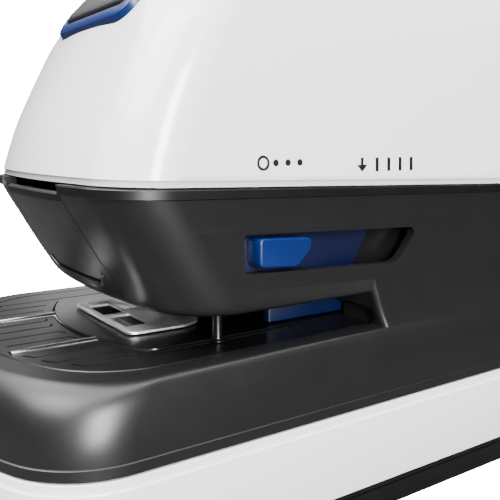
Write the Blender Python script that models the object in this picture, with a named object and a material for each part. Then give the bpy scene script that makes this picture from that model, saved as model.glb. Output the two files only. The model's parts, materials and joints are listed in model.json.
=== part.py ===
"""Electric desk stapler, built as an assembly of separate solids.

Frame: origin on the table under the middle of the machine, +Z up, the nose points to -Y,
and the side with the mode slider faces +X.  Sizes below are millimetres; MM turns them into metres.
"""
import bpy
import bmesh
from math import asin, cos, pi, radians, sin, sqrt
from mathutils import Vector

MM = 0.001
GAP = 0.3                       # clearance between neighbours

# ---- driving dimensions --------------------------------------------------------------------
BASE_HALF = 51.2                # half width of the white skirt
BASE_END = 143.2                # skirt ends at +-BASE_END along Y
DECK_Z = 46.9                   # paper deck
HEAD_HALF = 43.3                # half width of the head and neck
HEAD_FRONT = -118.4             # front of the lower head at the split line
NOSE_RADIUS = 188.0             # the wide arc across the front of the head
NOSE_CORNER = 15.4              # the corners beside it
HEAD_REAR = 137.0
HEAD_BOTTOM = 55.4              # underside of the head: the throat is DECK_Z..HEAD_BOTTOM
SPLIT_Z = 83.4                  # height of the split line at SPLIT_Y
SPLIT_Y = -95.0
SPLIT_FALL = 0.0256             # the split line falls towards the rear
TOP_Z = 148.0
THROAT_END = -46.6              # front of the neck at the underside of the head
WALL = 2.4
STAPLE_Y = -96.2                # plane of the staple being driven
GEAR_TEETH = 36
PINION_TEETH = 12
GEAR_AXIS = (-70.0, 97.0)       # y, z of the drive gear
PINION_AXIS = (-47.0, 88.7)
HINGE_AXIS = (-112.6, 79.0)     # y, z of the front door's pin
CLINCH_AXIS = (10.5, 42.0)      # x, z of the clinchers' pins
BUTTON_EDGE = (-102.1, 118.0)   # y, z of the button's lower edge
BUTTON_SLOPE = radians(41.5)
BUTTON_LENGTH = 35.0            # along the slope
BUTTON_HALF = 21.8
BEZEL_PROUD = 1.5                # how far the bezel and the cap stand above the cover
CAP_PROUD = 3.0

for old in list(bpy.data.objects):
    bpy.data.objects.remove(old, do_unlink=True)


# ---- finishes ------------------------------------------------------------------------------
def finish(name, color, rough, metal=0.0):
    mat = bpy.data.materials.new(name)
    mat.use_nodes = True
    shader = mat.node_tree.nodes["Principled BSDF"]
    shader.inputs["Base Color"].default_value = (*color, 1.0)
    shader.inputs["Roughness"].default_value = rough
    shader.inputs["Metallic"].default_value = metal
    return mat


WHITE = ((0.80, 0.80, 0.79), 0.22)
CHARCOAL = ((0.032, 0.032, 0.034), 0.35)
BLACK = ((0.008, 0.008, 0.009), 0.30)
BLUE = ((0.006, 0.075, 0.42), 0.35)
STEEL = ((0.62, 0.63, 0.65), 0.28, 1.0)
ZINC = ((0.48, 0.49, 0.50), 0.42, 1.0)
RUBBER = ((0.02, 0.02, 0.02), 0.85)
NYLON = ((0.75, 0.73, 0.66), 0.45)
BOARD = ((0.02, 0.16, 0.07), 0.45)


# ---- mesh helpers --------------------------------------------------------------------------
def make(name, verts, faces, look, pivot=(0, 0, 0), smooth=35.0):
    """One named object from points in mm, with its origin at pivot."""
    mesh = bpy.data.meshes.new(name)
    shift = Vector(pivot)
    mesh.from_pydata([(Vector(v) - shift) * MM for v in verts], [], faces)
    bm = bmesh.new()
    bm.from_mesh(mesh)
    bmesh.ops.recalc_face_normals(bm, faces=bm.faces[:])
    bm.to_mesh(mesh)
    bm.free()
    mesh.shade_smooth()
    mesh.set_sharp_from_angle(angle=radians(smooth))
    obj = bpy.data.objects.new(name, mesh)
    obj.location = shift * MM
    bpy.context.collection.objects.link(obj)
    if look is not None:
        mesh.materials.append(finish(name, *look))
    return obj


def loft(name, rings, look, pivot=(0, 0, 0)):
    """A closed solid through rings that all have the same number of points."""
    n = len(rings[0])
    verts = [p for ring in rings for p in ring]
    faces = [list(range(n))[::-1], list(range((len(rings) - 1) * n, len(rings) * n))]
    for r in range(len(rings) - 1):
        for i in range(n):
            j = (i + 1) % n
            faces.append([r * n + i, r * n + j, (r + 1) * n + j, (r + 1) * n + i])
    return make(name, verts, faces, look, pivot)


def shell_loft(name, outer, inner, look, capped):
    """A thin shell between outer and inner rings, open below; capped closes the top."""
    n = len(outer[0])
    verts = [p for ring in outer + inner for p in ring]
    start = len(outer) * n
    faces = []
    for base, count in ((0, len(outer)), (start, len(inner))):
        for r in range(count - 1):
            for i in range(n):
                j = (i + 1) % n
                a = base + r * n
                faces.append([a + i, a + j, a + n + j, a + n + i])
    last_out = (len(outer) - 1) * n
    last_in = start + (len(inner) - 1) * n
    for i in range(n):
        j = (i + 1) % n
        faces.append([i, j, start + j, start + i])
        if not capped:
            faces.append([last_out + i, last_out + j, last_in + j, last_in + i])
    if capped:
        faces.append(list(range(last_out, last_out + n)))
        faces.append(list(range(last_in, last_in + n)))
    return make(name, verts, faces, look)


def prism(name, outline, axis, low, high, look, pivot=(0, 0, 0)):
    """An outline in the plane across an axis, extruded from low to high along it."""
    def point(u, v, w):
        return {"x": (w, u, v), "y": (u, w, v), "z": (u, v, w)}[axis]
    rings = [[point(u, v, w) for u, v in outline] for w in (low, high)]
    return loft(name, rings, look, pivot)


def box(name, low, high, look, pivot=(0, 0, 0)):
    outline = [(low[0], low[1]), (high[0], low[1]), (high[0], high[1]), (low[0], high[1])]
    return prism(name, outline, "z", low[2], high[2], look, pivot)


def circle(u, v, radius, count=24):
    return [(u + radius * cos(2 * pi * i / count), v + radius * sin(2 * pi * i / count))
            for i in range(count)]


def rod(name, axis, centre, radius, low, high, look, pivot=(0, 0, 0), count=20):
    return prism(name, circle(*centre, radius, count), axis, low, high, look, pivot)


def coil(name, radius, wire, turns, start, end, look, sides=5, per_turn=10):
    """A compression spring: a round wire swept along a helix, its ends capped."""
    start = Vector(start)
    along = Vector(end) - start
    axis = along.normalized()
    side = axis.orthogonal().normalized()
    other = axis.cross(side)
    steps = int(turns * per_turn)
    rings = []
    for k in range(steps + 1):
        a = 2 * pi * k / per_turn
        out = side * cos(a) + other * sin(a)
        middle = start + along * (k / steps) + out * radius
        ring = []
        for s in range(sides):
            b = 2 * pi * s / sides
            ring.append(tuple(middle + (out * cos(b) + axis * sin(b)) * wire))
        rings.append(ring)
    return loft(name, rings, look)


def boolean(obj, other, operation):
    mod = obj.modifiers.new(other.name, "BOOLEAN")
    mod.operation = operation
    mod.object = other
    mod.solver = "EXACT"
    other.hide_render = True
    other.display_type = "WIRE"
    return obj


def cut(obj, *others):
    for other in others:
        boolean(obj, other, "DIFFERENCE")
    return obj


def join(obj, *others):
    for other in others:
        boolean(obj, other, "UNION")
    return obj


# ---- outlines ------------------------------------------------------------------------------
def plan(half, front, rear, r_front, r_corner, r_back, arcs=(3, 6, 4)):
    """Half-round-nosed outline seen from above: a wide front arc, corners, sides, rear corners."""
    n_front, n_corner, n_back = arcs
    swing = asin((half - r_corner) / (r_front - r_corner))
    corner_y = front + r_front - (r_front - r_corner) * cos(swing)
    right = []
    for k in range(1, n_front + 1):
        a = swing * k / n_front
        right.append((r_front * sin(a), front + r_front - r_front * cos(a)))
    for k in range(1, n_corner + 1):
        a = swing + (pi / 2 - swing) * k / n_corner
        right.append((half - r_corner + r_corner * sin(a), corner_y - r_corner * cos(a)))
    for k in range(n_back + 1):
        a = pi / 2 * k / n_back
        right.append((half - r_back + r_back * cos(a), rear - r_back + r_back * sin(a)))
    left = [(-x, y) for x, y in reversed(right)]
    return [(0.0, front)] + right + left


def level(outline, z, fall=0.0):
    """Lift an outline to height z, sloped by fall along Y about the split line's reference."""
    return [(x, y, z - fall * (y - SPLIT_Y)) for x, y in outline]


def rounded(half_u, half_v, radius, count=4):
    """A rectangle with round corners about the origin."""
    pts = []
    for cu, cv, a0 in ((1, 1, 0), (-1, 1, 1), (-1, -1, 2), (1, -1, 3)):
        for k in range(count + 1):
            a = pi / 2 * (a0 + k / count)
            pts.append((cu * (half_u - radius) + radius * cos(a),
                        cv * (half_v - radius) + radius * sin(a)))
    return pts


def base_plan(grow, arcs=(3, 6, 4)):
    """The band outline of the base, grown outwards by grow."""
    return plan(50.6 + grow, -142.6 - grow, 142.6 + grow, 90 + grow, 22 + grow, 20 + grow, arcs)


def rim_plan(grow, share=1.0, rear=137.0):
    """The deck's outer edge; share 0 is the deck and share 1 is the band below it."""
    return plan(45.3 + 5.3 * share + grow, -135.5 - 7.1 * share - grow, rear + 5.6 * share + grow,
                65 + 25 * share + grow, 27 - 5 * share + grow, 18 + grow)


# Height, front y and half width of the lower head, from its underside to the split line.
HEAD_LEVELS = (
    (HEAD_BOTTOM, -101.2, 41.4), (56.0, -102.5, 42.5), (57.2, -103.7, 43.1), (59.0, -104.85, HEAD_HALF),
    (69.6, -111.15, HEAD_HALF), (78.0, -115.95, HEAD_HALF), (SPLIT_Z - GAP, HEAD_FRONT, HEAD_HALF))


def head_ring(z, front, half, inset):
    share = max(0.0, (z - 61.0) / (SPLIT_Z - GAP - 61.0))
    outline = plan(half - inset, front + inset, HEAD_REAR - inset, NOSE_RADIUS - inset,
                   NOSE_CORNER - inset, 18 - inset)
    return level(outline, z, SPLIT_FALL * share)


def head_rings():
    """The outside of the lower head, from its underside to the split line."""
    return [head_ring(z, front, half, 0.0) for z, front, half in HEAD_LEVELS]


def head_hollow_rings():
    """The inside of the lower head: a floor, walls of even thickness, and past the open top."""
    rings = [head_ring(HEAD_BOTTOM + 2.2, -103.9, 43.1, WALL)]
    rings += [head_ring(z, front, half, WALL) for z, front, half in HEAD_LEVELS[3:]]
    rings.append([(x, y, z + 10.0) for x, y, z in rings[-1]])
    return rings


# ---- 1. base -------------------------------------------------------------------------------
def build_base():
    foot_x, foot_y = 38.0, 118.0
    plate = shell_loft("bottom_plate",
                       [level(base_plan(-0.5), 9.7), level(base_plan(-0.5), 2.0)],
                       [level(base_plan(-2.9), 9.7), level(base_plan(-2.9), 4.4)], BLACK, True)
    for k, (sx, sy) in enumerate(((-1, -1), (1, -1), (-1, 1), (1, 1))):
        rod("foot_%d" % (k + 1), "z", (sx * foot_x, sy * foot_y), 7.0, 0.0, 1.7, RUBBER)
        x, y = sx * 30.0, sy * 96.0
        hole = rod("plate_hole_%d" % (k + 1), "z", (x, y), 1.8, 0.0, 8.0, None, count=12)
        seat = rod("plate_seat_%d" % (k + 1), "z", (x, y), 3.4, 0.0, 3.2, None, count=16)
        cut(plate, hole, seat)
        shank = rod("screw_shank_%d" % (k + 1), "z", (x, y), 1.4, 2.5, 14.0, None, count=12)
        join(rod("base_screw_%d" % (k + 1), "z", (x, y), 3.0, 2.2, 2.9, ZINC, count=16), shank)
    shell_loft("base_skirt",
               [level(base_plan(0.6), 10.1), level(base_plan(0.6), 30.1)],
               [level(base_plan(-1.6), 10.1), level(base_plan(-1.6), 30.1)], WHITE, False)


def base_upper_rings(grow):
    rings = [level(rim_plan(grow, 1.0), 30.5)]
    steps = 5
    for k in range(steps + 1):
        a = pi / 2 * k / steps
        rings.append(level(rim_plan(grow, cos(a)), 35.0 + (DECK_Z - 35.0) * sin(a)))
    return rings


# Height of the neck's rings, and how far they flare at the throat end and along the sides.
NECK_LEVELS = ((41.0, 3.2, 6.3), (43.0, 3.0, 6.0), (45.0, 2.5, 5.3), (47.5, 1.7, 4.1), (50.0, 1.05, 2.8),
               (53.0, 0.65, 1.6), (HEAD_BOTTOM, 0.45, 0.9), (59.0, 0.15, 0.2), (62.0, 0.0, 0.0))


def neck_ring(z, flare_front, flare_side, inset=0.0):
    """One level of the neck: it widens downwards into the base, more so behind the throat."""
    front = THROAT_END + 0.3 * (HEAD_BOTTOM - z)
    outline = plan(HEAD_HALF, front, HEAD_REAR, 4000, 3.0, 18)
    ring = []
    for x, y in split_long_sides(outline, 6):
        ramp = min(1.0, max(0.0, (y - THROAT_END) / 56.0))
        flare = flare_front + (flare_side - flare_front) * ramp * ramp * (3 - 2 * ramp)
        back = max(0.0, (y - 119.0) / 18.0)
        ring.append((x * (1 + flare / HEAD_HALF), y + 0.55 * flare * back, z))
    return ring


def split_long_sides(outline, count):
    """Extra points along the outline's two straight sides."""
    pts = []
    for k, (x, y) in enumerate(outline):
        pts.append((x, y))
        nx, ny = outline[(k + 1) % len(outline)]
        if abs(ny - y) > 60:
            pts += [(x + (nx - x) * j / count, y + (ny - y) * j / count) for j in range(1, count)]
    return pts


def neck_rings():
    return [neck_ring(*entry) for entry in NECK_LEVELS]


def door_wedge(name, grow, top):
    """The front door's share of the head: a prism that widens downwards, open to the front."""
    half_top, half_low = 18.8 + grow, 22.3 + grow
    outline = [(-half_low, 50.0), (half_low, 50.0), (half_top, top), (-half_top, top)]
    return prism(name, outline, "y", -140.0, -100.6 + grow, None)


def slot_outline():
    """The mode slider's window in the side wall, with a slanted rear end, as y, z points."""
    return [(-84.8, 64.4), (-40.0, 62.7), (-37.6, 63.6), (-32.6, 69.6), (-33.6, 71.2), (-84.8, 73.0)]


def build_shell_half(name, side):
    """One half of the C-shaped body shell: base top, neck and lower head in one moulding."""
    tag = name + "_"
    shell = loft(name, base_upper_rings(0.0), CHARCOAL)
    join(shell, loft(tag + "neck", neck_rings(), None), loft(tag + "head", head_rings(), None))
    ledge = level(plan(38.0, -127.5, -48.5, 58, 20, 2), 40.0)
    recess = plan(40.6, -130.6, -43.6, 60, 22.5, 2)
    cut(shell,
        loft(tag + "base_hollow",
             [level(rim_plan(-WALL, 1.0), 28.0), level(rim_plan(-WALL, 0.9), 36.0),
              level(rim_plan(-WALL, 0.45), 42.3)], None),
        loft(tag + "ledge_hole", [ledge, [(x, y, 50.0) for x, y, z in ledge]], None),
        loft(tag + "deck_recess", [level(recess, DECK_Z - 2.3), level(recess, 51.0)], None),
        loft(tag + "neck_hollow",
             [level(plan(HEAD_HALF - WALL, -38.2, HEAD_REAR - WALL, 4000, 2, 15.6), z)
              for z in (28.0, 60.0)], None),
        loft(tag + "head_hollow", head_hollow_rings(), None),
        box(tag + "stop_gate", (-29.3, -54.0, 46.4), (29.3, -34.0, 55.8), None),
        box(tag + "outlet", (-10.5, -104.0, 50.0), (10.5, -89.0, 60.0), None),
        door_wedge(tag + "door_gap", GAP, 90.0),
        box(tag + "inlet_gate", (10.7, 125.0, 52.7), (31.3, 145.0, 67.3), None))
    if side > 0:
        window = prism(tag + "window", slot_outline(), "x", 36.0, 50.0, None)
        cut(shell, window)
    low, high = (-80.0, 0.15) if side > 0 else (-0.15, 80.0)
    cut(shell, box(tag + "other_half", (low, -170.0, 20.0), (high, 170.0, 100.0), None))


def build_deck():
    deck = loft("deck_plate", [level(plan(40.2, -130.2, -44.0, 59.6, 22.2, 1.8), z)
                               for z in (DECK_Z - 2.0, DECK_Z)], CHARCOAL)
    surround_cut = loft("surround_gap", [level(plan(30.3, -108.7, -30.0, 55.3, 4.0, 1), z)
                                         for z in (40.0, 50.0)], None)
    cut(deck, surround_cut)
    for side, name in ((-1, "glide_strip_left"), (1, "glide_strip_right")):
        x = side * 14.3
        front = -126.8
        pocket = box(name + "_pocket", (x - 1.5, front - GAP, DECK_Z - 0.8), (x + 1.5, -106.0, 50.0),
                     None)
        cut(deck, pocket)
        rear = -108.7 + 55.3 - sqrt(55.3 ** 2 - 15.5 ** 2) - GAP
        box(name, (x - 1.2, front, DECK_Z - 0.5), (x + 1.2, rear, DECK_Z + 0.6), STEEL)
    surround = loft("anvil_surround", [level(plan(30.0, -108.4, -44.2, 55, 3.7, 1), z)
                                       for z in (DECK_Z - 2.0, DECK_Z + 0.4)], BLACK)
    cut(surround, box("well_gap", (-13.2, -99.6, 40.0), (13.2, -91.6, 50.0), None))
    tongue = [(-17.0, -100.6), (17.4, -100.6), (18.6, -99.0), (19.0, -86.0), (17.0, -81.5),
              (13.2, -79.2), (10.4, -80.0), (6.0, -84.0), (1.0, -86.6), (-4.0, -87.8), (-17.0, -88.4)]
    anvil = prism("anvil_plate", tongue, "z", DECK_Z + 0.7, DECK_Z + 1.4, STEEL)
    for side in (-1, 1):
        low, high = sorted((side * 0.9, side * 12.6))
        cut(anvil, box("well_%+d" % side, (low, -98.8, 40.0), (high, -92.6, 52.0), None))
    rod("guide_post", "z", (31.9, -84.6), 1.2, DECK_Z + GAP, HEAD_BOTTOM - GAP, BLACK)


def build_clinchers():
    block = box("clinch_block", (-15.5, -101.0, 34.0), (15.5, -89.0, 44.6), ZINC)
    pit = box("clinch_pit", (-13.8, -98.9, 38.0), (13.8, -91.1, 50.0), None)
    cut(block, pit)
    px, pz = CLINCH_AXIS
    for side, name in ((-1, "left"), (1, "right")):
        cut(block, rod("clinch_bore_" + name, "y", (side * px, pz), 1.25, -105.0, -85.0, None, count=16))
        rod("clinch_pin_" + name, "y", (side * px, pz), 1.0, -100.6, -89.4, STEEL, count=16)
        wing = [(side * 1.0, 41.2), (side * 12.6, 40.4), (side * 12.6, 43.6), (side * 1.0, 43.0)]
        arm = prism("clincher_" + name, wing, "y", -97.6, -92.4, STEEL, (side * px, STAPLE_Y, pz))
        cut(arm, rod("wing_bore_" + name, "y", (side * px, pz), 1.1, -105.0, -85.0, None, count=16))


# ---- 2. head -------------------------------------------------------------------------------
# Cover levels: height at the front, front y, half width, rear y.
COVER_LEVELS = (
    (SPLIT_Z, -117.1, HEAD_HALF, 137.0), (87.5, -115.9, 43.1, 136.8), (96.2, -112.9, 42.7, 136.0),
    (104.9, -108.9, 42.1, 135.0), (111.5, -105.6, 41.4, 134.0), (117.5, -102.4, 40.6, 132.6),
    (123.0, -98.6, 39.4, 130.8), (128.0, -94.5, 37.8, 128.4), (132.5, -89.9, 35.7, 125.2),
    (136.5, -84.6, 33.0, 121.0), (140.0, -78.4, 29.4, 115.0), (143.0, -70.5, 24.8, 106.6),
    (145.4, -60.0, 19.6, 96.0), (147.0, -46.0, 14.0, 82.0), (TOP_Z, -24.0, 8.0, 62.0))


def cover_rings(inset):
    rings = []
    for z, front, half, rear in COVER_LEVELS:
        share = max(0.0, 1.0 - (z - SPLIT_Z) / 40.0)
        corner = min(NOSE_CORNER, half * 0.45)
        back = min(18.0, half * 0.45)
        outline = plan(half - inset, front + inset, rear - inset, NOSE_RADIUS - inset,
                       max(corner - inset, 1.0), max(back - inset, 1.0))
        drop = max(0.0, inset * (z - 130.0) / (TOP_Z - 130.0))
        rings.append(level(outline, z - drop, SPLIT_FALL * share))
    return rings


def on_slope(along, out):
    """A y, z point in the button's own frame: along its slope and out of its face."""
    y0, z0 = BUTTON_EDGE
    c, s = cos(BUTTON_SLOPE), sin(BUTTON_SLOPE)
    return y0 + along * c - out * s, z0 + along * s + out * c


def sloped(name, half_x, low, high, radius, out_low, out_high, look, pivot=(0, 0, 0)):
    """A round-cornered block standing on the button's slope, from out_low to out_high."""
    outline = rounded(half_x, (high - low) / 2, radius)
    middle = (low + high) / 2
    rings = [[(u, *on_slope(middle + v, out)) for u, v in outline] for out in (out_low, out_high)]
    return loft(name, rings, look, pivot)


def build_cover():
    cover = shell_loft("top_cover", cover_rings(0.0), cover_rings(WALL), WHITE, True)
    end = BUTTON_LENGTH
    cut(cover, sloped("button_gate", BUTTON_HALF + 0.4, -0.4, end + 0.4, 6.4, -20.0, 20.0, None))
    bezel = sloped("button_bezel", BUTTON_HALF, 0.0, end, 6.0, -4.6, 20.0, BLUE)
    boolean(bezel, loft("bezel_skin", cover_rings(-BEZEL_PROUD), None), "INTERSECT")
    cut(bezel, sloped("bezel_hole", BUTTON_HALF - 2.6, 2.4, end - 2.4, 3.6, -12.0, 30.0, None))
    cap = sloped("manual_button", BUTTON_HALF - 3.0, 2.8, end - 2.8, 3.2, -2.6, 20.0, BLACK)
    boolean(cap, loft("cap_skin", cover_rings(-CAP_PROUD), None), "INTERSECT")
    seat = sloped("button_seat", BUTTON_HALF - 2.0, 1.2, end - 1.2, 3.0, -12.4, -10.8, ZINC)
    cut(seat, sloped("seat_window", 6.0, end - 14.0, end - 5.0, 1.0, -20.0, 0.0, None))
    middle = end / 2
    coil("button_spring", 2.6, 0.4, 4, (0, *on_slope(middle, -10.3)), (0, *on_slope(middle, -3.1)),
         STEEL)
    sloped("button_switch", 4.6, 5.2, 10.8, 0.6, -10.4, -5.8, BLACK)


def build_door():
    y, z = HINGE_AXIS
    door = loft("front_door", head_rings(), CHARCOAL, (0, y, z))
    hollow = loft("door_hollow", head_hollow_rings(), None)
    wedge = door_wedge("door_wedge", 0.0, 81.4)
    cut(door, hollow)
    boolean(door, wedge, "INTERSECT")
    cut(door, prism("door_bevel", [(y - 8.4, z - 1.9), (y - 8.4, z + 7.0), (y + 0.5, z + 7.0)],
                    "x", -40.0, 40.0, None))
    for side in (-1, 1):
        low, high = sorted((side * 10.4, side * 16.0))
        join(door, rod("door_ear_%+d" % side, "x", (y, z), 2.4, low, high, None, count=16))
    cut(door, rod("door_bore", "x", (y, z), 1.0, -16.3, 16.3, None, count=16),
        rod("knuckle_room", "x", (y, z), 2.05, -10.3, 10.3, None, count=20))
    rod("door_pin", "x", (y, z), 0.9, -15.8, 15.8, STEEL, count=16)
    bracket = box("hinge_bracket", (-9.8, y - 0.2, z - 1.0), (9.8, -101.0, z + 1.0), ZINC)
    join(bracket, rod("bracket_knuckle", "x", (y, z), 1.7, -9.8, 9.8, None, count=16))
    cut(bracket, rod("bracket_bore", "x", (y, z), 1.2, -20.0, 20.0, None, count=16))


# ---- 3. stapling mechanism -----------------------------------------------------------------
def build_magazine():
    side = [(-99.3, HEAD_BOTTOM - 0.4), (-91.0, HEAD_BOTTOM - 0.4), (-91.0, 58.2), (-20.0, 58.2),
            (-20.0, 70.0), (-99.3, 70.0)]
    magazine = prism("magazine", side, "x", -9.0, 9.0, ZINC)
    channel = [(-6.8, 60.0), (-5.2, 60.0), (-5.2, 66.6), (5.2, 66.6), (5.2, 60.0), (6.8, 60.0),
               (6.8, 73.0), (-6.8, 73.0)]
    cut(magazine, prism("channel", channel, "y", -96.0, -21.6, None),
        box("driver_way", (-6.8, -97.3, 50.0), (6.8, -95.1, 73.0), None))
    staple = [(-6.5, 60.3), (-5.5, 60.3), (-5.5, 66.9), (5.5, 66.9), (5.5, 60.3), (6.5, 60.3),
              (6.5, 67.9), (-6.5, 67.9)]
    prism("staple_strip", staple, "y", -94.8, -60.0, STEEL)
    shoe = [(-6.5, 60.3), (-5.5, 60.3), (-5.5, 66.9), (5.5, 66.9), (5.5, 60.3), (6.5, 60.3),
            (6.5, 69.8), (-6.5, 69.8)]
    prism("pusher", shoe, "y", -59.7, -52.0, BLACK, (0, -55.8, 68.4))
    coil("pusher_spring", 1.0, 0.28, 9, (0, -51.4, 68.4), (0, -22.2, 68.4), STEEL, 5, 8)


def gear_outline(centre, teeth, pitch_radius, phase):
    """Trapezoid teeth around a pitch circle, slim enough to run with clearance."""
    pts = []
    step = 2 * pi / teeth
    for k in range(teeth):
        for share, radius in ((-0.30, -1.15), (-0.13, 0.75), (0.13, 0.75), (0.30, -1.15)):
            a = phase + step * (k + share)
            pts.append((centre[0] + (pitch_radius + radius) * cos(a),
                        centre[1] + (pitch_radius + radius) * sin(a)))
    return pts


def build_drive():
    gy, gz = GEAR_AXIS
    py, pz = PINION_AXIS
    spread = sqrt((py - gy) ** 2 + (pz - gz) ** 2)
    module = (spread - 0.25) * 2 / (GEAR_TEETH + PINION_TEETH)
    toward = Vector((py - gy, pz - gz))
    angle = -asin((gz - pz) / spread)
    gear = prism("drive_gear", gear_outline(GEAR_AXIS, GEAR_TEETH, module * GEAR_TEETH / 2, angle),
                 "x", 14.0, 19.0, NYLON, (0, gy, gz))
    pin_y, pin_z = gy - 14.0 * cos(pi / 4), gz + 14.0 * sin(pi / 4)
    join(gear, rod("crank_pin", "x", (pin_y, pin_z), 1.1, 7.6, 16.0, None, count=12),
         rod("gear_hub", "x", (gy, gz), 5.0, 12.2, 21.6, None, count=20))
    cut(gear, rod("gear_bore", "x", (gy, gz), 2.1, 0.0, 30.0, None, count=20))
    rod("gear_shaft", "x", (gy, gz), 2.0, -23.4, 25.2, STEEL)
    half_tooth = pi / PINION_TEETH
    pinion = prism("motor_pinion", gear_outline(PINION_AXIS, PINION_TEETH, module * PINION_TEETH / 2,
                                                angle + pi + half_tooth), "x", 14.2, 18.8, ZINC, (0, py, pz))
    join(pinion, rod("motor_shaft", "x", (py, pz), 1.2, 9.4, 20.5, None, count=12))
    motor = rod("motor", "x", (py, pz), 14.0, -20.0, 8.0, ZINC, count=32)
    join(motor, rod("motor_nose", "x", (py, pz), 4.0, 7.0, 10.0, None, count=20))
    cut(motor, rod("motor_bore", "x", (py, pz), 1.5, 6.0, 12.0, None, count=12))

    blade = box("driver", (-6.3, -96.9, 68.6), (6.3, -95.5, 102.0), STEEL)
    join(blade, box("driver_block", (-8.0, -98.3, 91.4), (11.5, -93.6, 100.4), None),
         box("driver_yoke", (7.7, -98.3, 92.0), (11.5, -90.6, 101.0), None),
         box("driver_arm", (7.7, -91.0, 92.0), (11.5, -74.5, 110.5), None))
    cut(blade, box("yoke_slot", (5.0, -85.9, 105.0), (13.0, -76.5, 108.8), None))

    side = [(-95.0, 60.0), (-12.0, 60.0), (-12.0, 108.0), (-34.0, 114.0), (-88.0, 114.0), (-96.5, 98.0)]
    for low, high, name in ((-24.6, -23.0, "frame_left"), (23.0, 24.6, "frame_right")):
        frame = prism(name, side, "x", low, high, ZINC)
        cut(frame, rod(name + "_gear_bore", "x", (gy, gz), 2.3, -30.0, 30.0, None, count=20),
            rod(name + "_window", "x", (-47.0, 88.7), 9.0, -30.0, 30.0, None, count=28))
        for tag, cy, cz in (("front", -66.0, 74.5), ("rear", -18.0, 102.0), ("low", -16.0, 76.0)):
            cut(frame, rod(name + "_" + tag, "x", (cy, cz), 2.3, -30.0, 30.0, None, count=16))
    for tag, cy, cz in (("front", -66.0, 74.5), ("rear", -18.0, 102.0), ("low", -16.0, 76.0)):
        rod("cross_shaft_" + tag, "x", (cy, cz), 2.0, -26.0, 26.0, STEEL, count=16)


# ---- 4. controls and electrics -------------------------------------------------------------
def build_controls():
    knob_side = [(-81.6, 65.6), (-71.2, 64.9), (-70.2, 65.3), (-67.2, 68.8), (-67.2, 69.6), (-68.2, 71.1),
                 (-69.0, 71.5), (-81.6, 72.0)]
    slider = prism("mode_slider", knob_side, "x", 38.0, HEAD_HALF + 1.4, BLUE, (40.0, -76.0, 68.6))
    plate = [(-91.0, 62.0), (-51.5, 61.0), (-45.0, 71.5), (-46.0, 73.4), (-91.0, 75.0)]
    join(slider, prism("slider_plate", plate, "x", 37.2, 39.7, None))
    box("mode_switch", (30.4, -66.0, 63.0), (36.6, -46.0, 73.0), BLACK)

    stop = box("paper_stop", (-27.6, -67.0, 47.6), (27.6, -30.0, HEAD_BOTTOM - GAP), BLUE, (0, -67.0, 50.0))
    cut(stop, box("stop_hollow", (-24.8, -70.0, 40.0), (24.8, -36.0, 60.0), None))
    box("stop_rail", (-29.0, -37.0, 42.8), (29.0, -6.0, 46.8), ZINC)

    board = box("circuit_board", (-34.0, 0.0, 64.0), (34.0, 70.0, 65.6), BOARD)
    chips = [((-28, 8, -14, 24), 6.0), ((4, 10, 20, 20), 9.0), ((-24, 40, -4, 52), 4.0),
             ((8, 36, 28, 60), 12.0)]
    for k, ((x0, y0, x1, y1), tall) in enumerate(chips):
        join(board, box("chip_%d" % k, (x0, y0, 65.0), (x1, y1, 65.0 + tall), None))
    core = box("transformer", (-22.0, 82.0, 62.0), (22.0, 118.0, 98.0), ZINC)
    join(core, box("winding", (-14.0, 76.0, 70.0), (14.0, 124.0, 90.0), None))
    inlet = box("power_inlet", (11.0, 126.0, 53.0), (31.0, 139.0, 67.0), BLACK)
    cut(inlet, box("inlet_socket", (13.4, 130.0, 55.4), (28.6, 150.0, 64.6), None))
    for k in (-1, 1):
        join(inlet, rod("inlet_pin_%+d" % k, "y", (21.0 + 4.0 * k, 60.0), 1.1, 128.0, 137.5, None, count=10))


build_base()
build_shell_half("body_shell_left", -1)
build_shell_half("body_shell_right", 1)
build_deck()
build_clinchers()
build_cover()
build_door()
build_magazine()
build_drive()
build_controls()
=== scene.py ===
import json
from math import asin, cos, pi, radians, sin, sqrt

import bmesh
import bpy
import numpy as np
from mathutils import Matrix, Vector
from mathutils.bvhtree import BVHTree


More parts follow.
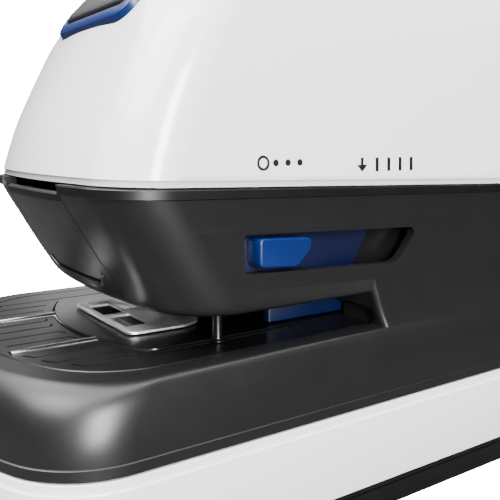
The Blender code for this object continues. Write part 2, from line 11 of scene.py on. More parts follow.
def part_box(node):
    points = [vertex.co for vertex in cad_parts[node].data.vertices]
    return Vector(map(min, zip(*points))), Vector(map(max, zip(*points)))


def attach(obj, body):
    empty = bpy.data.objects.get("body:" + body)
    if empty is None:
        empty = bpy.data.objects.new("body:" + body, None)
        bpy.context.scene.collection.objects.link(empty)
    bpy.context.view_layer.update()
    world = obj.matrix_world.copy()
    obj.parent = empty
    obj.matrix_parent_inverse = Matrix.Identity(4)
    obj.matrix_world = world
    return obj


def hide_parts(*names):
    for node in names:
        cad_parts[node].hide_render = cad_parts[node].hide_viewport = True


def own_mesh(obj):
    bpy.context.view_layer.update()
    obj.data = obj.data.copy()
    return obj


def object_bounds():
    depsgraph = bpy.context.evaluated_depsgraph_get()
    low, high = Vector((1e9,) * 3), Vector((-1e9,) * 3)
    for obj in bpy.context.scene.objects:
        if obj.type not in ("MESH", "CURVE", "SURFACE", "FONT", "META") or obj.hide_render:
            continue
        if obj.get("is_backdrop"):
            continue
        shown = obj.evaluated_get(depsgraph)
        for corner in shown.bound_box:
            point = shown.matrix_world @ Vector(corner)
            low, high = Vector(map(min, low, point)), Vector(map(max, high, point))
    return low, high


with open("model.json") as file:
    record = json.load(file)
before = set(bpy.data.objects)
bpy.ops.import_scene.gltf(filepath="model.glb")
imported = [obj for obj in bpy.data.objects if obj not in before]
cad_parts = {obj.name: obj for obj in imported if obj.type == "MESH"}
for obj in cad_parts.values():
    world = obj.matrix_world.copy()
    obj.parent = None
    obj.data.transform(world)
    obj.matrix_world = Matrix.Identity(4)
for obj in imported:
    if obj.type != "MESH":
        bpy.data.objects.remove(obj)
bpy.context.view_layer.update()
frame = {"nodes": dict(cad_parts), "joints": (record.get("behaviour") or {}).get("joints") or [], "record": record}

# ---- View, table and light ------------------------------------------------------------------
# A desk stapler seen from just above its deck, from the slider side.  It stands on a lit sheet
# that looks white but throws little light up; soft boxes stand round it and overhead.
MM = 0.001
EYE = (164.45, -166.0, 92.92)
EYE_TILT = 81.0
EYE_TURN = 55.7
TABLE_HALF = 3000.0
TABLE_GAP = 0.05
SHEET_SHADE = 0.03
SEEN_WHITE = 30.0
ROOM_GLOW = 0.07
# name: place, what it faces, width and height, all in mm, and watts
SOFT_BOXES = {
    "front_box": ((160, -820, 1000), (0, -110, 100), (800, 560), 21.0),
    "side_box": ((1000, -420, 420), (0, -60, 80), (240, 800), 42.0),
    "roof_box": ((-250, -150, 1100), (0, 0, 60), (1500, 1500), 62.0),
    "far_box": ((-900, 560, 260), (0, 0, 50), (800, 420), 1.8),
}

lens = bpy.data.cameras.new("view")
lens.lens = 50.0
lens.sensor_width = 36.0
lens.clip_start = 0.005
view = bpy.data.objects.new("view", lens)
view.location = Vector(EYE) * MM
view.rotation_euler = (radians(EYE_TILT), 0.0, radians(EYE_TURN))
bpy.context.scene.collection.objects.link(view)
bpy.context.scene.camera = view

table_mesh = bpy.data.meshes.new("table")
edge, table_z = TABLE_HALF * MM, -TABLE_GAP * MM
table_mesh.from_pydata([(-edge, -edge, table_z), (edge, -edge, table_z), (edge, edge, table_z),
                        (-edge, edge, table_z)], [], [(0, 1, 2, 3)])
table = bpy.data.objects.new("table", table_mesh)
bpy.context.scene.collection.objects.link(table)
table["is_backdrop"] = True
sheet = bpy.data.materials.new("lit_sheet")
sheet.use_nodes = True
table_mesh.materials.append(sheet)
paper = sheet.node_tree.nodes["Principled BSDF"]
paper.inputs["Base Color"].default_value = (SHEET_SHADE, SHEET_SHADE, SHEET_SHADE, 1)
paper.inputs["Roughness"].default_value = 0.7
nodes, links = sheet.node_tree.nodes, sheet.node_tree.links
shine = nodes.new("ShaderNodeEmission")
shine.inputs["Strength"].default_value = SEEN_WHITE
seen = nodes.new("ShaderNodeLightPath")
choice = nodes.new("ShaderNodeMixShader")
links.new(seen.outputs["Is Camera Ray"], choice.inputs["Fac"])
links.new(paper.outputs["BSDF"], choice.inputs[1])
links.new(shine.outputs["Emission"], choice.inputs[2])
clear = nodes.new("ShaderNodeBsdfTransparent")
under = nodes.new("ShaderNodeNewGeometry")
one_way = nodes.new("ShaderNodeMixShader")
links.new(under.outputs["Backfacing"], one_way.inputs["Fac"])
links.new(choice.outputs["Shader"], one_way.inputs[1])
links.new(clear.outputs["BSDF"], one_way.inputs[2])
links.new(one_way.outputs["Shader"], nodes["Material Output"].inputs["Surface"])

room = bpy.data.worlds.new("room")
bpy.context.scene.world = room
room.use_nodes = True
air = room.node_tree
glow = air.nodes["Background"]
glow.inputs["Color"].default_value = (1.0, 1.0, 1.0, 1.0)
path = air.nodes.new("ShaderNodeLightPath")
strength = air.nodes.new("ShaderNodeMapRange")
strength.inputs["To Min"].default_value = ROOM_GLOW
strength.inputs["To Max"].default_value = SEEN_WHITE
air.links.new(path.outputs["Is Camera Ray"], strength.inputs["Value"])
air.links.new(strength.outputs["Result"], glow.inputs["Strength"])

for name, (place, target, size, watts) in SOFT_BOXES.items():
    lamp = bpy.data.lights.new(name, "AREA")
    lamp.shape = "RECTANGLE"
    lamp.size = size[0] * MM
    lamp.size_y = size[1] * MM
    lamp.energy = watts
    holder = bpy.data.objects.new(name, lamp)
    holder.location = Vector(place) * MM
    holder.rotation_euler = (Vector(target) - Vector(place)).to_track_quat("-Z", "Y").to_euler()
    bpy.context.scene.collection.objects.link(holder)

# ---- Base skirt -----------------------------------------------------------------------------
# The white band round the base: one glossy injection-moulded ring, with a thin stepped lip
# along its top edge where the charcoal body sits on it.
# outline of the base from above: half width, half length and the radii of its three arcs
BAND_HALF = 50.6
BAND_REACH = 142.6
BAND_FRONT_ROUND = 90.0
BAND_CORNER_ROUND = 22.0
BAND_BACK_ROUND = 20.0
SKIRT_WALL = 2.2
SKIRT_LIP = 2.0
SKIRT_STEP = 0.45
EDGE_ROUND = 0.5


def span(node):
    """A node's low and high corners in millimetres."""
    low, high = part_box(node)
    return [c / MM for c in low], [c / MM for c in high]


def footprint(half, front, rear, r_front, r_corner, r_back, arcs=(22, 18, 12)):
    """The machine's outline from above: a wide front arc, round corners, straight sides."""
    n_front, n_corner, n_back = arcs
    swing = asin((half - r_corner) / (r_front - r_corner))
    corner_y = front + r_front - (r_front - r_corner) * cos(swing)
    right = []
    for k in range(1, n_front + 1):
        a = swing * k / n_front
        right.append((r_front * sin(a), front + r_front - r_front * cos(a)))
    for k in range(1, n_corner + 1):
        a = swing + (pi / 2 - swing) * k / n_corner
        right.append((half - r_corner + r_corner * sin(a), corner_y - r_corner * cos(a)))
    for k in range(n_back + 1):
        a = pi / 2 * k / n_back
        right.append((half - r_back + r_back * cos(a), rear - r_back + r_back * sin(a)))
    return [(0.0, front)] + right + [(-x, y) for x, y in reversed(right)]


def ring(outline, z, fall=0.0, level_y=-95.0):
    """An outline at a height; with a fall it tips backwards about level_y."""
    return [(x, y, z - fall * (y - level_y)) for x, y in outline]


def band_outline(grow):
    return footprint(BAND_HALF + grow, -BAND_REACH - grow, BAND_REACH + grow, BAND_FRONT_ROUND + grow,
                     BAND_CORNER_ROUND + grow, BAND_BACK_ROUND + grow)


def solid(name, verts, faces, crease=32.0):
    """A named object from points in mm, its faces turned outwards and shaded smooth."""
    mesh = bpy.data.meshes.new(name)
    mesh.from_pydata([Vector(v) * MM for v in verts], [], faces)
    work = bmesh.new()
    work.from_mesh(mesh)
    bmesh.ops.recalc_face_normals(work, faces=work.faces[:])
    work.to_mesh(mesh)
    work.free()
    mesh.shade_smooth()
    mesh.set_sharp_from_angle(angle=radians(crease))
    obj = bpy.data.objects.new(name, mesh)
    bpy.context.scene.collection.objects.link(obj)
    return obj


def skin(rings, closed_loop=False, caps=True):
    """Points and faces through rings of equal length, capped or joined back to the first."""
    n = len(rings[0])
    verts = [p for r in rings for p in r]
    faces = []
    last = len(rings) if closed_loop else len(rings) - 1
    for r in range(last):
        a, b = r * n, (r + 1) % len(rings) * n
        for i in range(n):
            j = (i + 1) % n
            faces.append((a + i, a + j, b + j, b + i))
    if caps and not closed_loop:
        faces += [tuple(range(n))[::-1], tuple(range((len(rings) - 1) * n, len(rings) * n))]
    return verts, faces


def noise(mat, where, scale, detail, roughness=0.5):
    """The strength of a noise pattern over a piece."""
    cloud = mat.node_tree.nodes.new("ShaderNodeTexNoise")
    cloud.inputs["Scale"].default_value = scale
    cloud.inputs["Detail"].default_value = detail
    cloud.inputs["Roughness"].default_value = roughness
    mat.node_tree.links.new(where, cloud.inputs["Vector"])
    return cloud.outputs["Fac"]


def finished(mat, colour, shares, tint_by, rough, spots, gloss_by, strength, depth, relief_by):
    """Colour, roughness and relief of a surface, each led by a noise pattern of its own."""
    nodes, links = mat.node_tree.nodes, mat.node_tree.links
    shader = nodes["Principled BSDF"]
    tint = nodes.new("ShaderNodeMix")
    tint.data_type = "RGBA"
    tint.inputs[6].default_value = (*[c * shares[0] for c in colour], 1)
    tint.inputs[7].default_value = (*[min(1.0, c * shares[1]) for c in colour], 1)
    links.new(tint_by, tint.inputs["Factor"])
    links.new(tint.outputs[2], shader.inputs["Base Color"])
    gloss = nodes.new("ShaderNodeMapRange")
    gloss.inputs["From Min"].default_value = 0.3
    gloss.inputs["From Max"].default_value = 0.7
    gloss.inputs["To Min"].default_value = rough * (1 - spots)
    gloss.inputs["To Max"].default_value = rough * (1 + spots)
    links.new(gloss_by, gloss.inputs["Value"])
    links.new(gloss.outputs["Result"], shader.inputs["Roughness"])
    relief = nodes.new("ShaderNodeBump")
    relief.inputs["Strength"].default_value = strength
    relief.inputs["Distance"].default_value = depth
    links.new(relief_by, relief.inputs["Height"])
    links.new(relief.outputs["Normal"], shader.inputs["Normal"])
    return mat


def moulded(name, colour, rough, grain=0.06, mottle=0.05, coat=0.0, spots=0.08):
    """Injection-moulded plastic: fine spark grain, faint flow mottling and handling marks."""
    mat = bpy.data.materials.new(name)
    mat.use_nodes = True
    shader = mat.node_tree.nodes["Principled BSDF"]
    shader.inputs["Coat Weight"].default_value = coat
    shader.inputs["Coat Roughness"].default_value = 0.08
    where = mat.node_tree.nodes.new("ShaderNodeTexCoord").outputs["Object"]
    flow, rub = noise(mat, where, 38.0, 4.0), noise(mat, where, 130.0, 6.0, 0.7)
    return finished(mat, colour, (1 - mottle, 1 + mottle), flow, rough, spots, rub,
                    grain, 0.0001, noise(mat, where, 2600.0, 2.0))


def fitted(obj, look, body, slot, *nodes):
    """Give a finished piece its finish and the body it moves with."""
    obj.data.materials.clear()
    obj.data.materials.append(look)
    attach(obj, body)
    if nodes:
        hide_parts(*nodes)


white_gloss = moulded("white_gloss", (0.79, 0.79, 0.78), 0.2, grain=0.02, mottle=0.012, coat=0.35)
skirt_low, skirt_high = span("base_skirt")
skirt_profile = [
    (0.0, skirt_low[2] + EDGE_ROUND), (0.0, skirt_high[2] - SKIRT_LIP - 0.25),
    (-0.12, skirt_high[2] - SKIRT_LIP - 0.06), (-SKIRT_STEP, skirt_high[2] - SKIRT_LIP),
    (-SKIRT_STEP, skirt_high[2] - 0.15), (-SKIRT_STEP - 0.15, skirt_high[2]),
    (-SKIRT_WALL, skirt_high[2]), (-SKIRT_WALL, skirt_low[2]), (-EDGE_ROUND, skirt_low[2]),
    (-0.15, skirt_low[2] + 0.15)]
skirt_grow = skirt_high[0] - BAND_HALF
verts, faces = skin([ring(band_outline(skirt_grow + g), z) for g, z in skirt_profile], closed_loop=True)
fitted(solid("skirt_moulding", verts, faces), white_gloss, "chassis", "white_cover", "base_skirt")

# ---- Bottom plate ---------------------------------------------------------------------------
# A shallow black tray closes the base from below; a groove runs round it under the skirt,
# and the inside is open to the works above.
PLATE_WALL = 2.4
SCREW_WAY = 1.8
SCREW_SEAT = 3.4
SEAT_TOP = 3.2
GROOVE_DROP = 1.5
GROOVE_DEEP = 0.35

tray_black = moulded("tray_black", (0.002, 0.0021, 0.0022), 0.36, grain=0.12, mottle=0.08)
plate_low, plate_high = span("bottom_plate")
plate_grow = plate_high[0] - BAND_HALF
groove_z = plate_high[2] - GROOVE_DROP
tray_profile = [
    (-PLATE_WALL, plate_low[2] + 2.4), (-PLATE_WALL, plate_high[2]), (-0.4, plate_high[2]),
    (0.0, plate_high[2] - 0.4), (0.0, groove_z + 0.2), (-GROOVE_DEEP, groove_z + 0.1),
    (-GROOVE_DEEP, groove_z - 0.1), (0.0, groove_z - 0.2), (0.0, plate_low[2] + 1.2),
    (-0.35, plate_low[2] + 0.35), (-1.2, plate_low[2])]
tray = solid("bottom_tray", *skin([ring(band_outline(plate_grow + g), z) for g, z in tray_profile]))


def settle(obj, crease=32.0):
    """Make the modifiers' result the object's own mesh, shaded smooth with true creases."""
    graph = bpy.context.evaluated_depsgraph_get()
    mesh = bpy.data.meshes.new_from_object(obj.evaluated_get(graph))
    obj.modifiers.clear()
    obj.data = mesh
    mesh.shade_smooth()
    mesh.set_sharp_from_angle(angle=radians(crease))


def work_with(obj, tools, operation, crease=32.0):
    """Cut, join or trim a piece with other solids, which are used up."""
    for tool in tools:
        step = obj.modifiers.new(tool.name, "BOOLEAN")
        step.operation = operation
        step.object = tool
        step.solver = "EXACT"
    settle(obj, crease)
    for tool in tools:
        bpy.data.objects.remove(tool, do_unlink=True)


def circle(u, v, radius, count=32):
    return [(u + radius * cos(2 * pi * i / count), v + radius * sin(2 * pi * i / count))
            for i in range(count)]


def bar(name, outline, axis, low, high):
    """An outline in the plane across an axis, extruded along it."""
    def point(u, v, w):
        return {"x": (w, u, v), "y": (u, w, v), "z": (u, v, w)}[axis]
    return solid(name, *skin([[point(u, v, w) for u, v in outline] for w in (low, high)]))


def block(name, low, high):
    corners = [(low[0], low[1]), (high[0], low[1]), (high[0], high[1]), (low[0], high[1])]
    return bar(name, corners, "z", low[2], high[2])


screw_places = []
screw_cuts = []
for k in range(1, 5):
    low, high = span("base_screw_%d" % k)
    x, y = (low[0] + high[0]) / 2, (low[1] + high[1]) / 2
    screw_places.append((x, y, low[2]))
    screw_cuts.append(bar("screw_way_%d" % k, circle(x, y, SCREW_WAY), "z", -1.0, 20.0))
    screw_cuts.append(bar("screw_seat_%d" % k, circle(x, y, SCREW_SEAT), "z", -1.0, SEAT_TOP))
work_with(tray, screw_cuts, "DIFFERENCE")
fitted(tray, tray_black, "chassis", "black_matte", "bottom_plate")

# ---- Base screws ----------------------------------------------------------------------------
# Four cross-head self-tapping screws hold the tray to the body from below; each is a zinc
# plated pan head with a cross recess on a plain shank, set in a counterbore.
HEAD_RADIUS = 3.0
HEAD_TALL = 0.7
SHANK_RADIUS = 1.4
SHANK_LONG = 11.1
CROSS_WIDE = 0.75
CROSS_LONG = 3.4
CROSS_DEEP = 0.45


def tree(name, sizes, material):
    """A Geometry Nodes tree with one number input for each size, and its first nodes."""
    group = bpy.data.node_groups.new(name, "GeometryNodeTree")
    group.interface.new_socket("Geometry", in_out="INPUT", socket_type="NodeSocketGeometry")
    for label in sizes:
        group.interface.new_socket(label, in_out="INPUT", socket_type="NodeSocketFloat")
    group.interface.new_socket("Geometry", in_out="OUTPUT", socket_type="NodeSocketGeometry")
    source = group.nodes.new("NodeGroupInput")
    last = group.nodes.new("NodeGroupOutput")
    real = group.nodes.new("GeometryNodeRealizeInstances")
    paint = group.nodes.new("GeometryNodeSetMaterial")
    paint.inputs["Material"].default_value = material
    group.links.new(real.outputs[0], paint.inputs["Geometry"])
    group.links.new(paint.outputs[0], last.inputs[0])
    return group, source, real


def grown(obj, group, sizes, crease=32.0):
    """Run a tree on an object, with its sizes in mm, and keep the result as plain mesh."""
    step = obj.modifiers.new(group.name, "NODES")
    step.node_group = group
    for item in group.interface.items_tree:
        if item.in_out == "INPUT" and item.name in sizes:
            step[item.identifier] = sizes[item.name] * MM
    settle(obj, crease)


def metal(name, colour, rough, brush=(1.0, 1.0, 1.0), grain=0.08, spots=0.25):
    """Worked metal: drawn or rolled lines along one axis, with uneven polish and faint stains."""
    mat = bpy.data.materials.new(name)
    mat.use_nodes = True
    mat.node_tree.nodes["Principled BSDF"].inputs["Metallic"].default_value = 1.0
    where = mat.node_tree.nodes.new("ShaderNodeTexCoord").outputs["Object"]
    stretch = mat.node_tree.nodes.new("ShaderNodeMapping")
    stretch.inputs["Scale"].default_value = brush
    mat.node_tree.links.new(where, stretch.inputs["Vector"])
    lines = noise(mat, stretch.outputs["Vector"], 1500.0, 3.0)
    stain = noise(mat, where, 90.0, 5.0)
    return finished(mat, colour, (0.88, 1.08), stain, rough, spots, lines, grain, 0.00005, lines)


def times(group, number, factor):
    """One of a tree's numbers multiplied by a factor."""
    product = group.nodes.new("ShaderNodeMath")
    product.operation = "MULTIPLY"
    product.inputs[1].default_value = factor
    group.links.new(number, product.inputs[0])
    return product.outputs[0]


def lifted(group, mesh, height):
    """A mesh in a tree, moved up by one of its numbers."""
    place = group.nodes.new("ShaderNodeCombineXYZ")
    group.links.new(height, place.inputs["Z"])
    move = group.nodes.new("GeometryNodeTransform")
    group.links.new(mesh, move.inputs["Geometry"])
    group.links.new(place.outputs[0], move.inputs["Translation"])
    return move.outputs["Geometry"]


def round_bar(group, radius, height, count):
    """A cylinder in a tree, sized by two of its numbers."""
    shape = group.nodes.new("GeometryNodeMeshCylinder")
    shape.inputs["Vertices"].default_value = count
    group.links.new(radius, shape.inputs["Radius"])
    group.links.new(height, shape.inputs["Depth"])
    return shape.outputs["Mesh"]


screw_zinc = metal("screw_zinc", (0.52, 0.52, 0.50), 0.35)
group, source, real = tree("cross_head_screws", ("Head radius", "Head height", "Shank radius",
                                                 "Shank length", "Cross width", "Cross length",
                                                 "Cross depth"), screw_zinc)
links, size = group.links, source.outputs
whole = group.nodes.new("GeometryNodeMeshBoolean")
whole.operation = "UNION"
links.new(round_bar(group, size["Head radius"], size["Head height"], 36), whole.inputs["Mesh 2"])
shank = round_bar(group, size["Shank radius"], size["Shank length"], 20)
links.new(lifted(group, shank, times(group, size["Shank length"], 0.5)), whole.inputs["Mesh 2"])
recess = group.nodes.new("GeometryNodeMeshBoolean")
recess.operation = "DIFFERENCE"
links.new(whole.outputs["Mesh"], recess.inputs["Mesh 1"])
for along, across in (("X", "Y"), ("Y", "X")):
    wing_size = group.nodes.new("ShaderNodeCombineXYZ")
    links.new(size["Cross length"], wing_size.inputs[along])
    links.new(size["Cross width"], wing_size.inputs[across])
    links.new(times(group, size["Cross depth"], 2.0), wing_size.inputs["Z"])
    wing = group.nodes.new("GeometryNodeMeshCube")
    links.new(wing_size.outputs[0], wing.inputs["Size"])
    low_wing = lifted(group, wing.outputs["Mesh"], times(group, size["Head height"], -0.5))
    links.new(low_wing, recess.inputs["Mesh 2"])
spread = group.nodes.new("GeometryNodeInstanceOnPoints")
links.new(source.outputs["Geometry"], spread.inputs["Points"])
links.new(recess.outputs["Mesh"], spread.inputs["Instance"])
links.new(spread.outputs["Instances"], real.inputs[0])
screws = solid("tray_screws", [(x, y, z + HEAD_TALL / 2) for x, y, z in screw_places], [])
grown(screws, group, {"Head radius": HEAD_RADIUS, "Head height": HEAD_TALL, "Shank radius": SHANK_RADIUS,
                      "Shank length": SHANK_LONG, "Cross width": CROSS_WIDE, "Cross length": CROSS_LONG,
                      "Cross depth": CROSS_DEEP})
fitted(screws, screw_zinc, "chassis", "zinc_steel", *["base_screw_%d" % k for k in range(1, 5)])

# ---- Feet -----------------------------------------------------------------------------------
# Four soft rubber buttons pressed into the tray; each is turned with a rolled edge and a
# shallow dish in the middle, so that it grips the table at its rim.
rubber = moulded("foot_rubber", (0.018, 0.018, 0.018), 0.75, grain=0.3, mottle=0.2)


def turned(name, centre, profile, count=48):
    """A solid of revolution about a vertical axis from radius and height pairs."""
    rings = [[(centre[0] + r * cos(2 * pi * i / count), centre[1] + r * sin(2 * pi * i / count), z)
              for i in range(count)] for r, z in profile]
    return solid(name, *skin(rings))


for k in range(1, 5):
    low, high = span("foot_%d" % k)
    r = (high[0] - low[0]) / 2
    profile = [(0.3, 0.35), (r - 2.6, 0.3), (r - 2.0, 0.05), (r - 1.6, 0.0), (r - 0.5, 0.0),
               (r - 0.15, 0.15), (r, 0.5), (r, high[2] - 0.2), (r - 0.2, high[2]), (0.3, high[2])]
    foot = turned("rubber_foot_%d" % k, ((low[0] + high[0]) / 2, (low[1] + high[1]) / 2), profile)
    fitted(foot, rubber, "chassis", "rubber_foot", "foot_%d" % k)

# ---- Body shell -----------------------------------------------------------------------------
# One C-shaped charcoal moulding in two halves joined down the middle: the base top, the neck
# that flares into it, and the lower head with its throat.  Satin ABS, screwed from inside.
WALL = 2.4
SEAM = 0.06
DECK_Z = span("deck_plate")[1][2]
HEAD_HALF = span("top_cover")[1][0]
HEAD_REAR = span("top_cover")[1][1]
HEAD_BOTTOM = 55.4
SPLIT_Z = 83.4
SPLIT_FALL = 0.0256
NOSE_RADIUS = 188.0
NOSE_CORNER = 15.4
THROAT_END = -46.6
BAND_LOW = 30.5
BAND_TALL = 2.3
BAND_INSET = 0.35
ARC_LOW = 33.0
ARC_STEPS = 16
DOOR_TOP_HALF = 18.8
DOOR_LOW_HALF = 22.3
FALL_START = 61.0
# half width, front y, rear y and three radii of the base's upper edge at the deck, and how much
# each grows down to the band
DECK_RIM = (45.3, -135.5, 137.0, 65, 27, 18)
RIM_SPREAD = (5.3, -7.1, 5.6, 25, -5, 0)
# height, front y and half width of the lower head, from its underside to the split line
HEAD_LEVELS = ((55.4, -100.6, 41.0), (55.6, -101.8, 42.1), (56.2, -102.9, 42.8), (57.4, -103.85, 43.2),
               (59.0, -104.85, 43.3), (64.0, -107.9, 43.3), (69.6, -111.15, 43.3), (74.0, -113.65, 43.3),
               (78.0, -115.95, 43.3), (80.8, -117.4, 43.3))
HEAD_CREST = (SPLIT_Z - 0.3, -118.2, 43.3)
# height of the neck's rings, and how far they flare at the throat end and along the sides
NECK_LEVELS = ((41.0, 3.2, 6.3), (43.0, 3.0, 6.0), (45.0, 2.5, 5.3), (47.5, 1.7, 4.1), (50.0, 1.05, 2.8),
               (53.0, 0.65, 1.6), (HEAD_BOTTOM, 0.45, 0.9), (59.0, 0.15, 0.2), (62.0, 0.0, 0.0))


def through(rows, count):
    """Rows read from a smooth curve through the given rows, count steps between each pair."""
    pts = np.array(rows, dtype=float)
    along = np.concatenate([[0.0], np.cumsum(np.linalg.norm(np.diff(pts, axis=0), axis=1))])
    slope = np.gradient(pts, along, axis=0)
    result = []
    for k in range(len(pts) - 1):
        step = along[k + 1] - along[k]
        for j in range(count):
            t = j / count
            result.append((2 * t ** 3 - 3 * t ** 2 + 1) * pts[k] + (t ** 3 - 2 * t ** 2 + t) * step * slope[k]
                          + (3 * t ** 2 - 2 * t ** 3) * pts[k + 1] + (t ** 3 - t ** 2) * step * slope[k + 1])
    result.append(pts[-1])
    return [tuple(float(c) for c in row) for row in result]


def rim_outline(grow, share=1.0):
    """The base's upper edge: share 0 is the deck and share 1 is the band below it."""
    half, front, rear, *radii = [c + d * share for c, d in zip(DECK_RIM, RIM_SPREAD)]
    return footprint(half + grow, front - grow, rear + grow, *[r + grow for r in radii])


def head_ring(z, front, half, inset=0.0):
    """One level of the lower head: it tips backwards more and more towards the split line."""
    share = max(0.0, (z - FALL_START) / (SPLIT_Z - FALL_START))
    outline = footprint(half - inset, front + inset, HEAD_REAR - inset, NOSE_RADIUS - inset,
                        NOSE_CORNER - inset, 18 - inset)
    return ring(outline, z, SPLIT_FALL * share)


def long_sides(outline, count):
    """The outline with its two straight sides divided, so that they can flare."""
    pts = []
    for k, (x, y) in enumerate(outline):
        pts.append((x, y))
        nx, ny = outline[(k + 1) % len(outline)]
        if abs(ny - y) > 60:
            pts += [(x + (nx - x) * j / count, y + (ny - y) * j / count) for j in range(1, count)]
    return pts


def neck_ring(z, flare_front, flare_side):
    """One level of the neck: it widens downwards into the base, more so behind the throat."""
    front = THROAT_END + 0.3 * (HEAD_BOTTOM - z)
    pts = []
    for x, y in long_sides(footprint(HEAD_HALF, front, HEAD_REAR, 4000, 1.6, 18, (3, 8, 14)), 24):
        ramp = min(1.0, max(0.0, (y - THROAT_END) / 56.0))
        flare = flare_front + (flare_side - flare_front) * ramp * ramp * (3 - 2 * ramp)
        back = max(0.0, (y - 119.0) / 18.0)
        pts.append((x * (1 + flare / HEAD_HALF), y + 0.55 * flare * back, z))
    return pts


def door_tool(name, grow, top):
    """The front door's share of the head, a prism that widens downwards."""
    top_half, low_half = DOOR_TOP_HALF + grow, DOOR_LOW_HALF + grow
    return bar(name, [(-low_half, 50.0), (low_half, 50.0), (top_half, top), (-top_half, top)],
               "y", -140.0, -100.6 + grow)


def softened(outline, radius, count=5):
    """A polygon with every corner rounded to the given radius."""
    pts = []
    n = len(outline)
    for k in range(n):
        corner = Vector(outline[k])
        back = (Vector(outline[k - 1]) - corner)
        on = (Vector(outline[(k + 1) % n]) - corner)
        cut = min(radius, back.length * 0.45, on.length * 0.45)
        start, end = corner + back.normalized() * cut, corner + on.normalized() * cut
        for j in range(count + 1):
            t = j / count
            pts.append(tuple(start * (1 - t) ** 2 + corner * (2 * t * (1 - t)) + end * t ** 2))
    return pts


charcoal = moulded("charcoal_satin", (0.0058, 0.0059, 0.0062), 0.35, grain=0.05, mottle=0.06)
base_rings = [ring(rim_outline(0.0), BAND_LOW), ring(rim_outline(0.0), BAND_LOW + BAND_TALL - 0.1),
              ring(rim_outline(-0.1), BAND_LOW + BAND_TALL),
              ring(rim_outline(-BAND_INSET), BAND_LOW + BAND_TALL + 0.1)]
for k in range(1, ARC_STEPS + 1):
    a = pi / 2 * k / ARC_STEPS
    base_rings.append(ring(rim_outline(-BAND_INSET * cos(a), cos(a)), ARC_LOW + (DECK_Z - ARC_LOW) * sin(a)))
body = solid("body_work", *skin(base_rings))
hollow_rows = [(57.6, -103.9, 43.1)] + list(HEAD_LEVELS[4:])
hollow_rings = [head_ring(*row, WALL) for row in hollow_rows]
hollow_rings.append([(x, y, z + 12.0) for x, y, z in hollow_rings[-1]])
head_rings = [head_ring(*row) for row in through(HEAD_LEVELS, 3)] + [head_ring(*HEAD_CREST)]
work_with(body, [solid("neck_work", *skin([neck_ring(*row) for row in through(NECK_LEVELS, 3)])),
                 solid("head_work", *skin(head_rings))], "UNION")
ledge = footprint(38.0, -127.5, -48.5, 58, 20, 2)
recess_outline = footprint(40.6, -130.6, -43.6, 60, 22.5, 2)
window = softened([(-84.8, 64.4), (-40.0, 62.7), (-37.6, 63.6), (-32.6, 69.6), (-33.6, 71.2),
                   (-84.8, 73.0)], 1.0)
inlet_low, inlet_high = span("power_inlet")
work_with(body, [
    solid("base_hollow", *skin([ring(rim_outline(-WALL), 28.0), ring(rim_outline(-WALL, 0.9), 36.0),
                                ring(rim_outline(-WALL, 0.45), 42.3)])),
    solid("ledge_hole", *skin([ring(ledge, 40.0), ring(ledge, 50.0)])),
    solid("deck_recess", *skin([ring(recess_outline, DECK_Z - 2.3), ring(recess_outline, 51.0)])),
    solid("neck_hollow", *skin([ring(footprint(HEAD_HALF - WALL, -38.2, HEAD_REAR - WALL, 4000, 2, 15.6), z)
                                for z in (28.0, 60.0)])),
    solid("head_hollow", *skin(hollow_rings)),
    block("stop_gate", (-29.3, -54.0, 46.4), (29.3, -34.0, 55.8)),
    block("outlet", (-10.5, -104.0, 50.0), (10.5, -89.0, 60.0)),
    door_tool("door_gap", 0.3, 90.0),
    block("inlet_gate", (inlet_low[0] - 0.3, 125.0, inlet_low[2] - 0.3),
          (inlet_high[0] + 0.3, 145.0, inlet_high[2] + 0.3)),
    bar("slider_window", window, "x", 36.0, 50.0)], "DIFFERENCE")
for name, low_x, high_x in (("left", -80.0, -SEAM), ("right", SEAM, 80.0)):
    half = body.copy()
    half.data = body.data.copy()
    half.name = "body_half_" + name
    bpy.context.scene.collection.objects.link(half)
    work_with(half, [block("half_tool", (low_x, -170.0, 20.0), (high_x, 170.0, 100.0))], "INTERSECT", 24.0)
    smooth = half.modifiers.new("even_shading", "WEIGHTED_NORMAL")
    smooth.keep_sharp = True
    smooth.weight = 80
    settle(half, 24.0)
    fitted(half, charcoal, "chassis", "charcoal_shell", "body_shell_" + name)
bpy.data.objects.remove(body, do_unlink=True)

# ---- Rim strips -----------------------------------------------------------------------------
# A narrow matt strip, much darker than the shell, runs round the top of the lower head, under the
# cover, and a second one across the door; each is a separate black piece that stands a little proud.
RIM_Z = 82.0
RIM_SEAM = 19.4

rim_black = moulded("rim_black", (0.0012, 0.0012, 0.0013), 0.4, grain=0.1, mottle=0.1)


def strip(name, route, section, crease=32.0):
    """A section of out and up offsets swept along a route of points in plan."""
    rings = []
    for k, (x, y, z) in enumerate(route):
        before, after = route[max(k - 1, 0)], route[min(k + 1, len(route) - 1)]
        run = Vector((after[0] - before[0], after[1] - before[1])).normalized()
        rings.append([(x + run.y * out, y - run.x * out, z + up) for out, up in section])
    return solid(name, *skin(rings), crease)


RIM_SECTION = [(-0.6, -1.05), (0.2, -1.05), (0.34, -0.9), (0.34, 0.85), (0.2, 1.0), (-0.6, 1.0)]
whole_rim = head_ring(RIM_Z, -118.1, HEAD_HALF)
front_count = sum(1 for x, y, z in whole_rim if x >= 0 and y < -100 and x < RIM_SEAM)
body_route = whole_rim[front_count:len(whole_rim) - front_count + 1]
fitted(strip("body_rim", body_route, RIM_SECTION), rim_black, "chassis", "charcoal_shell")

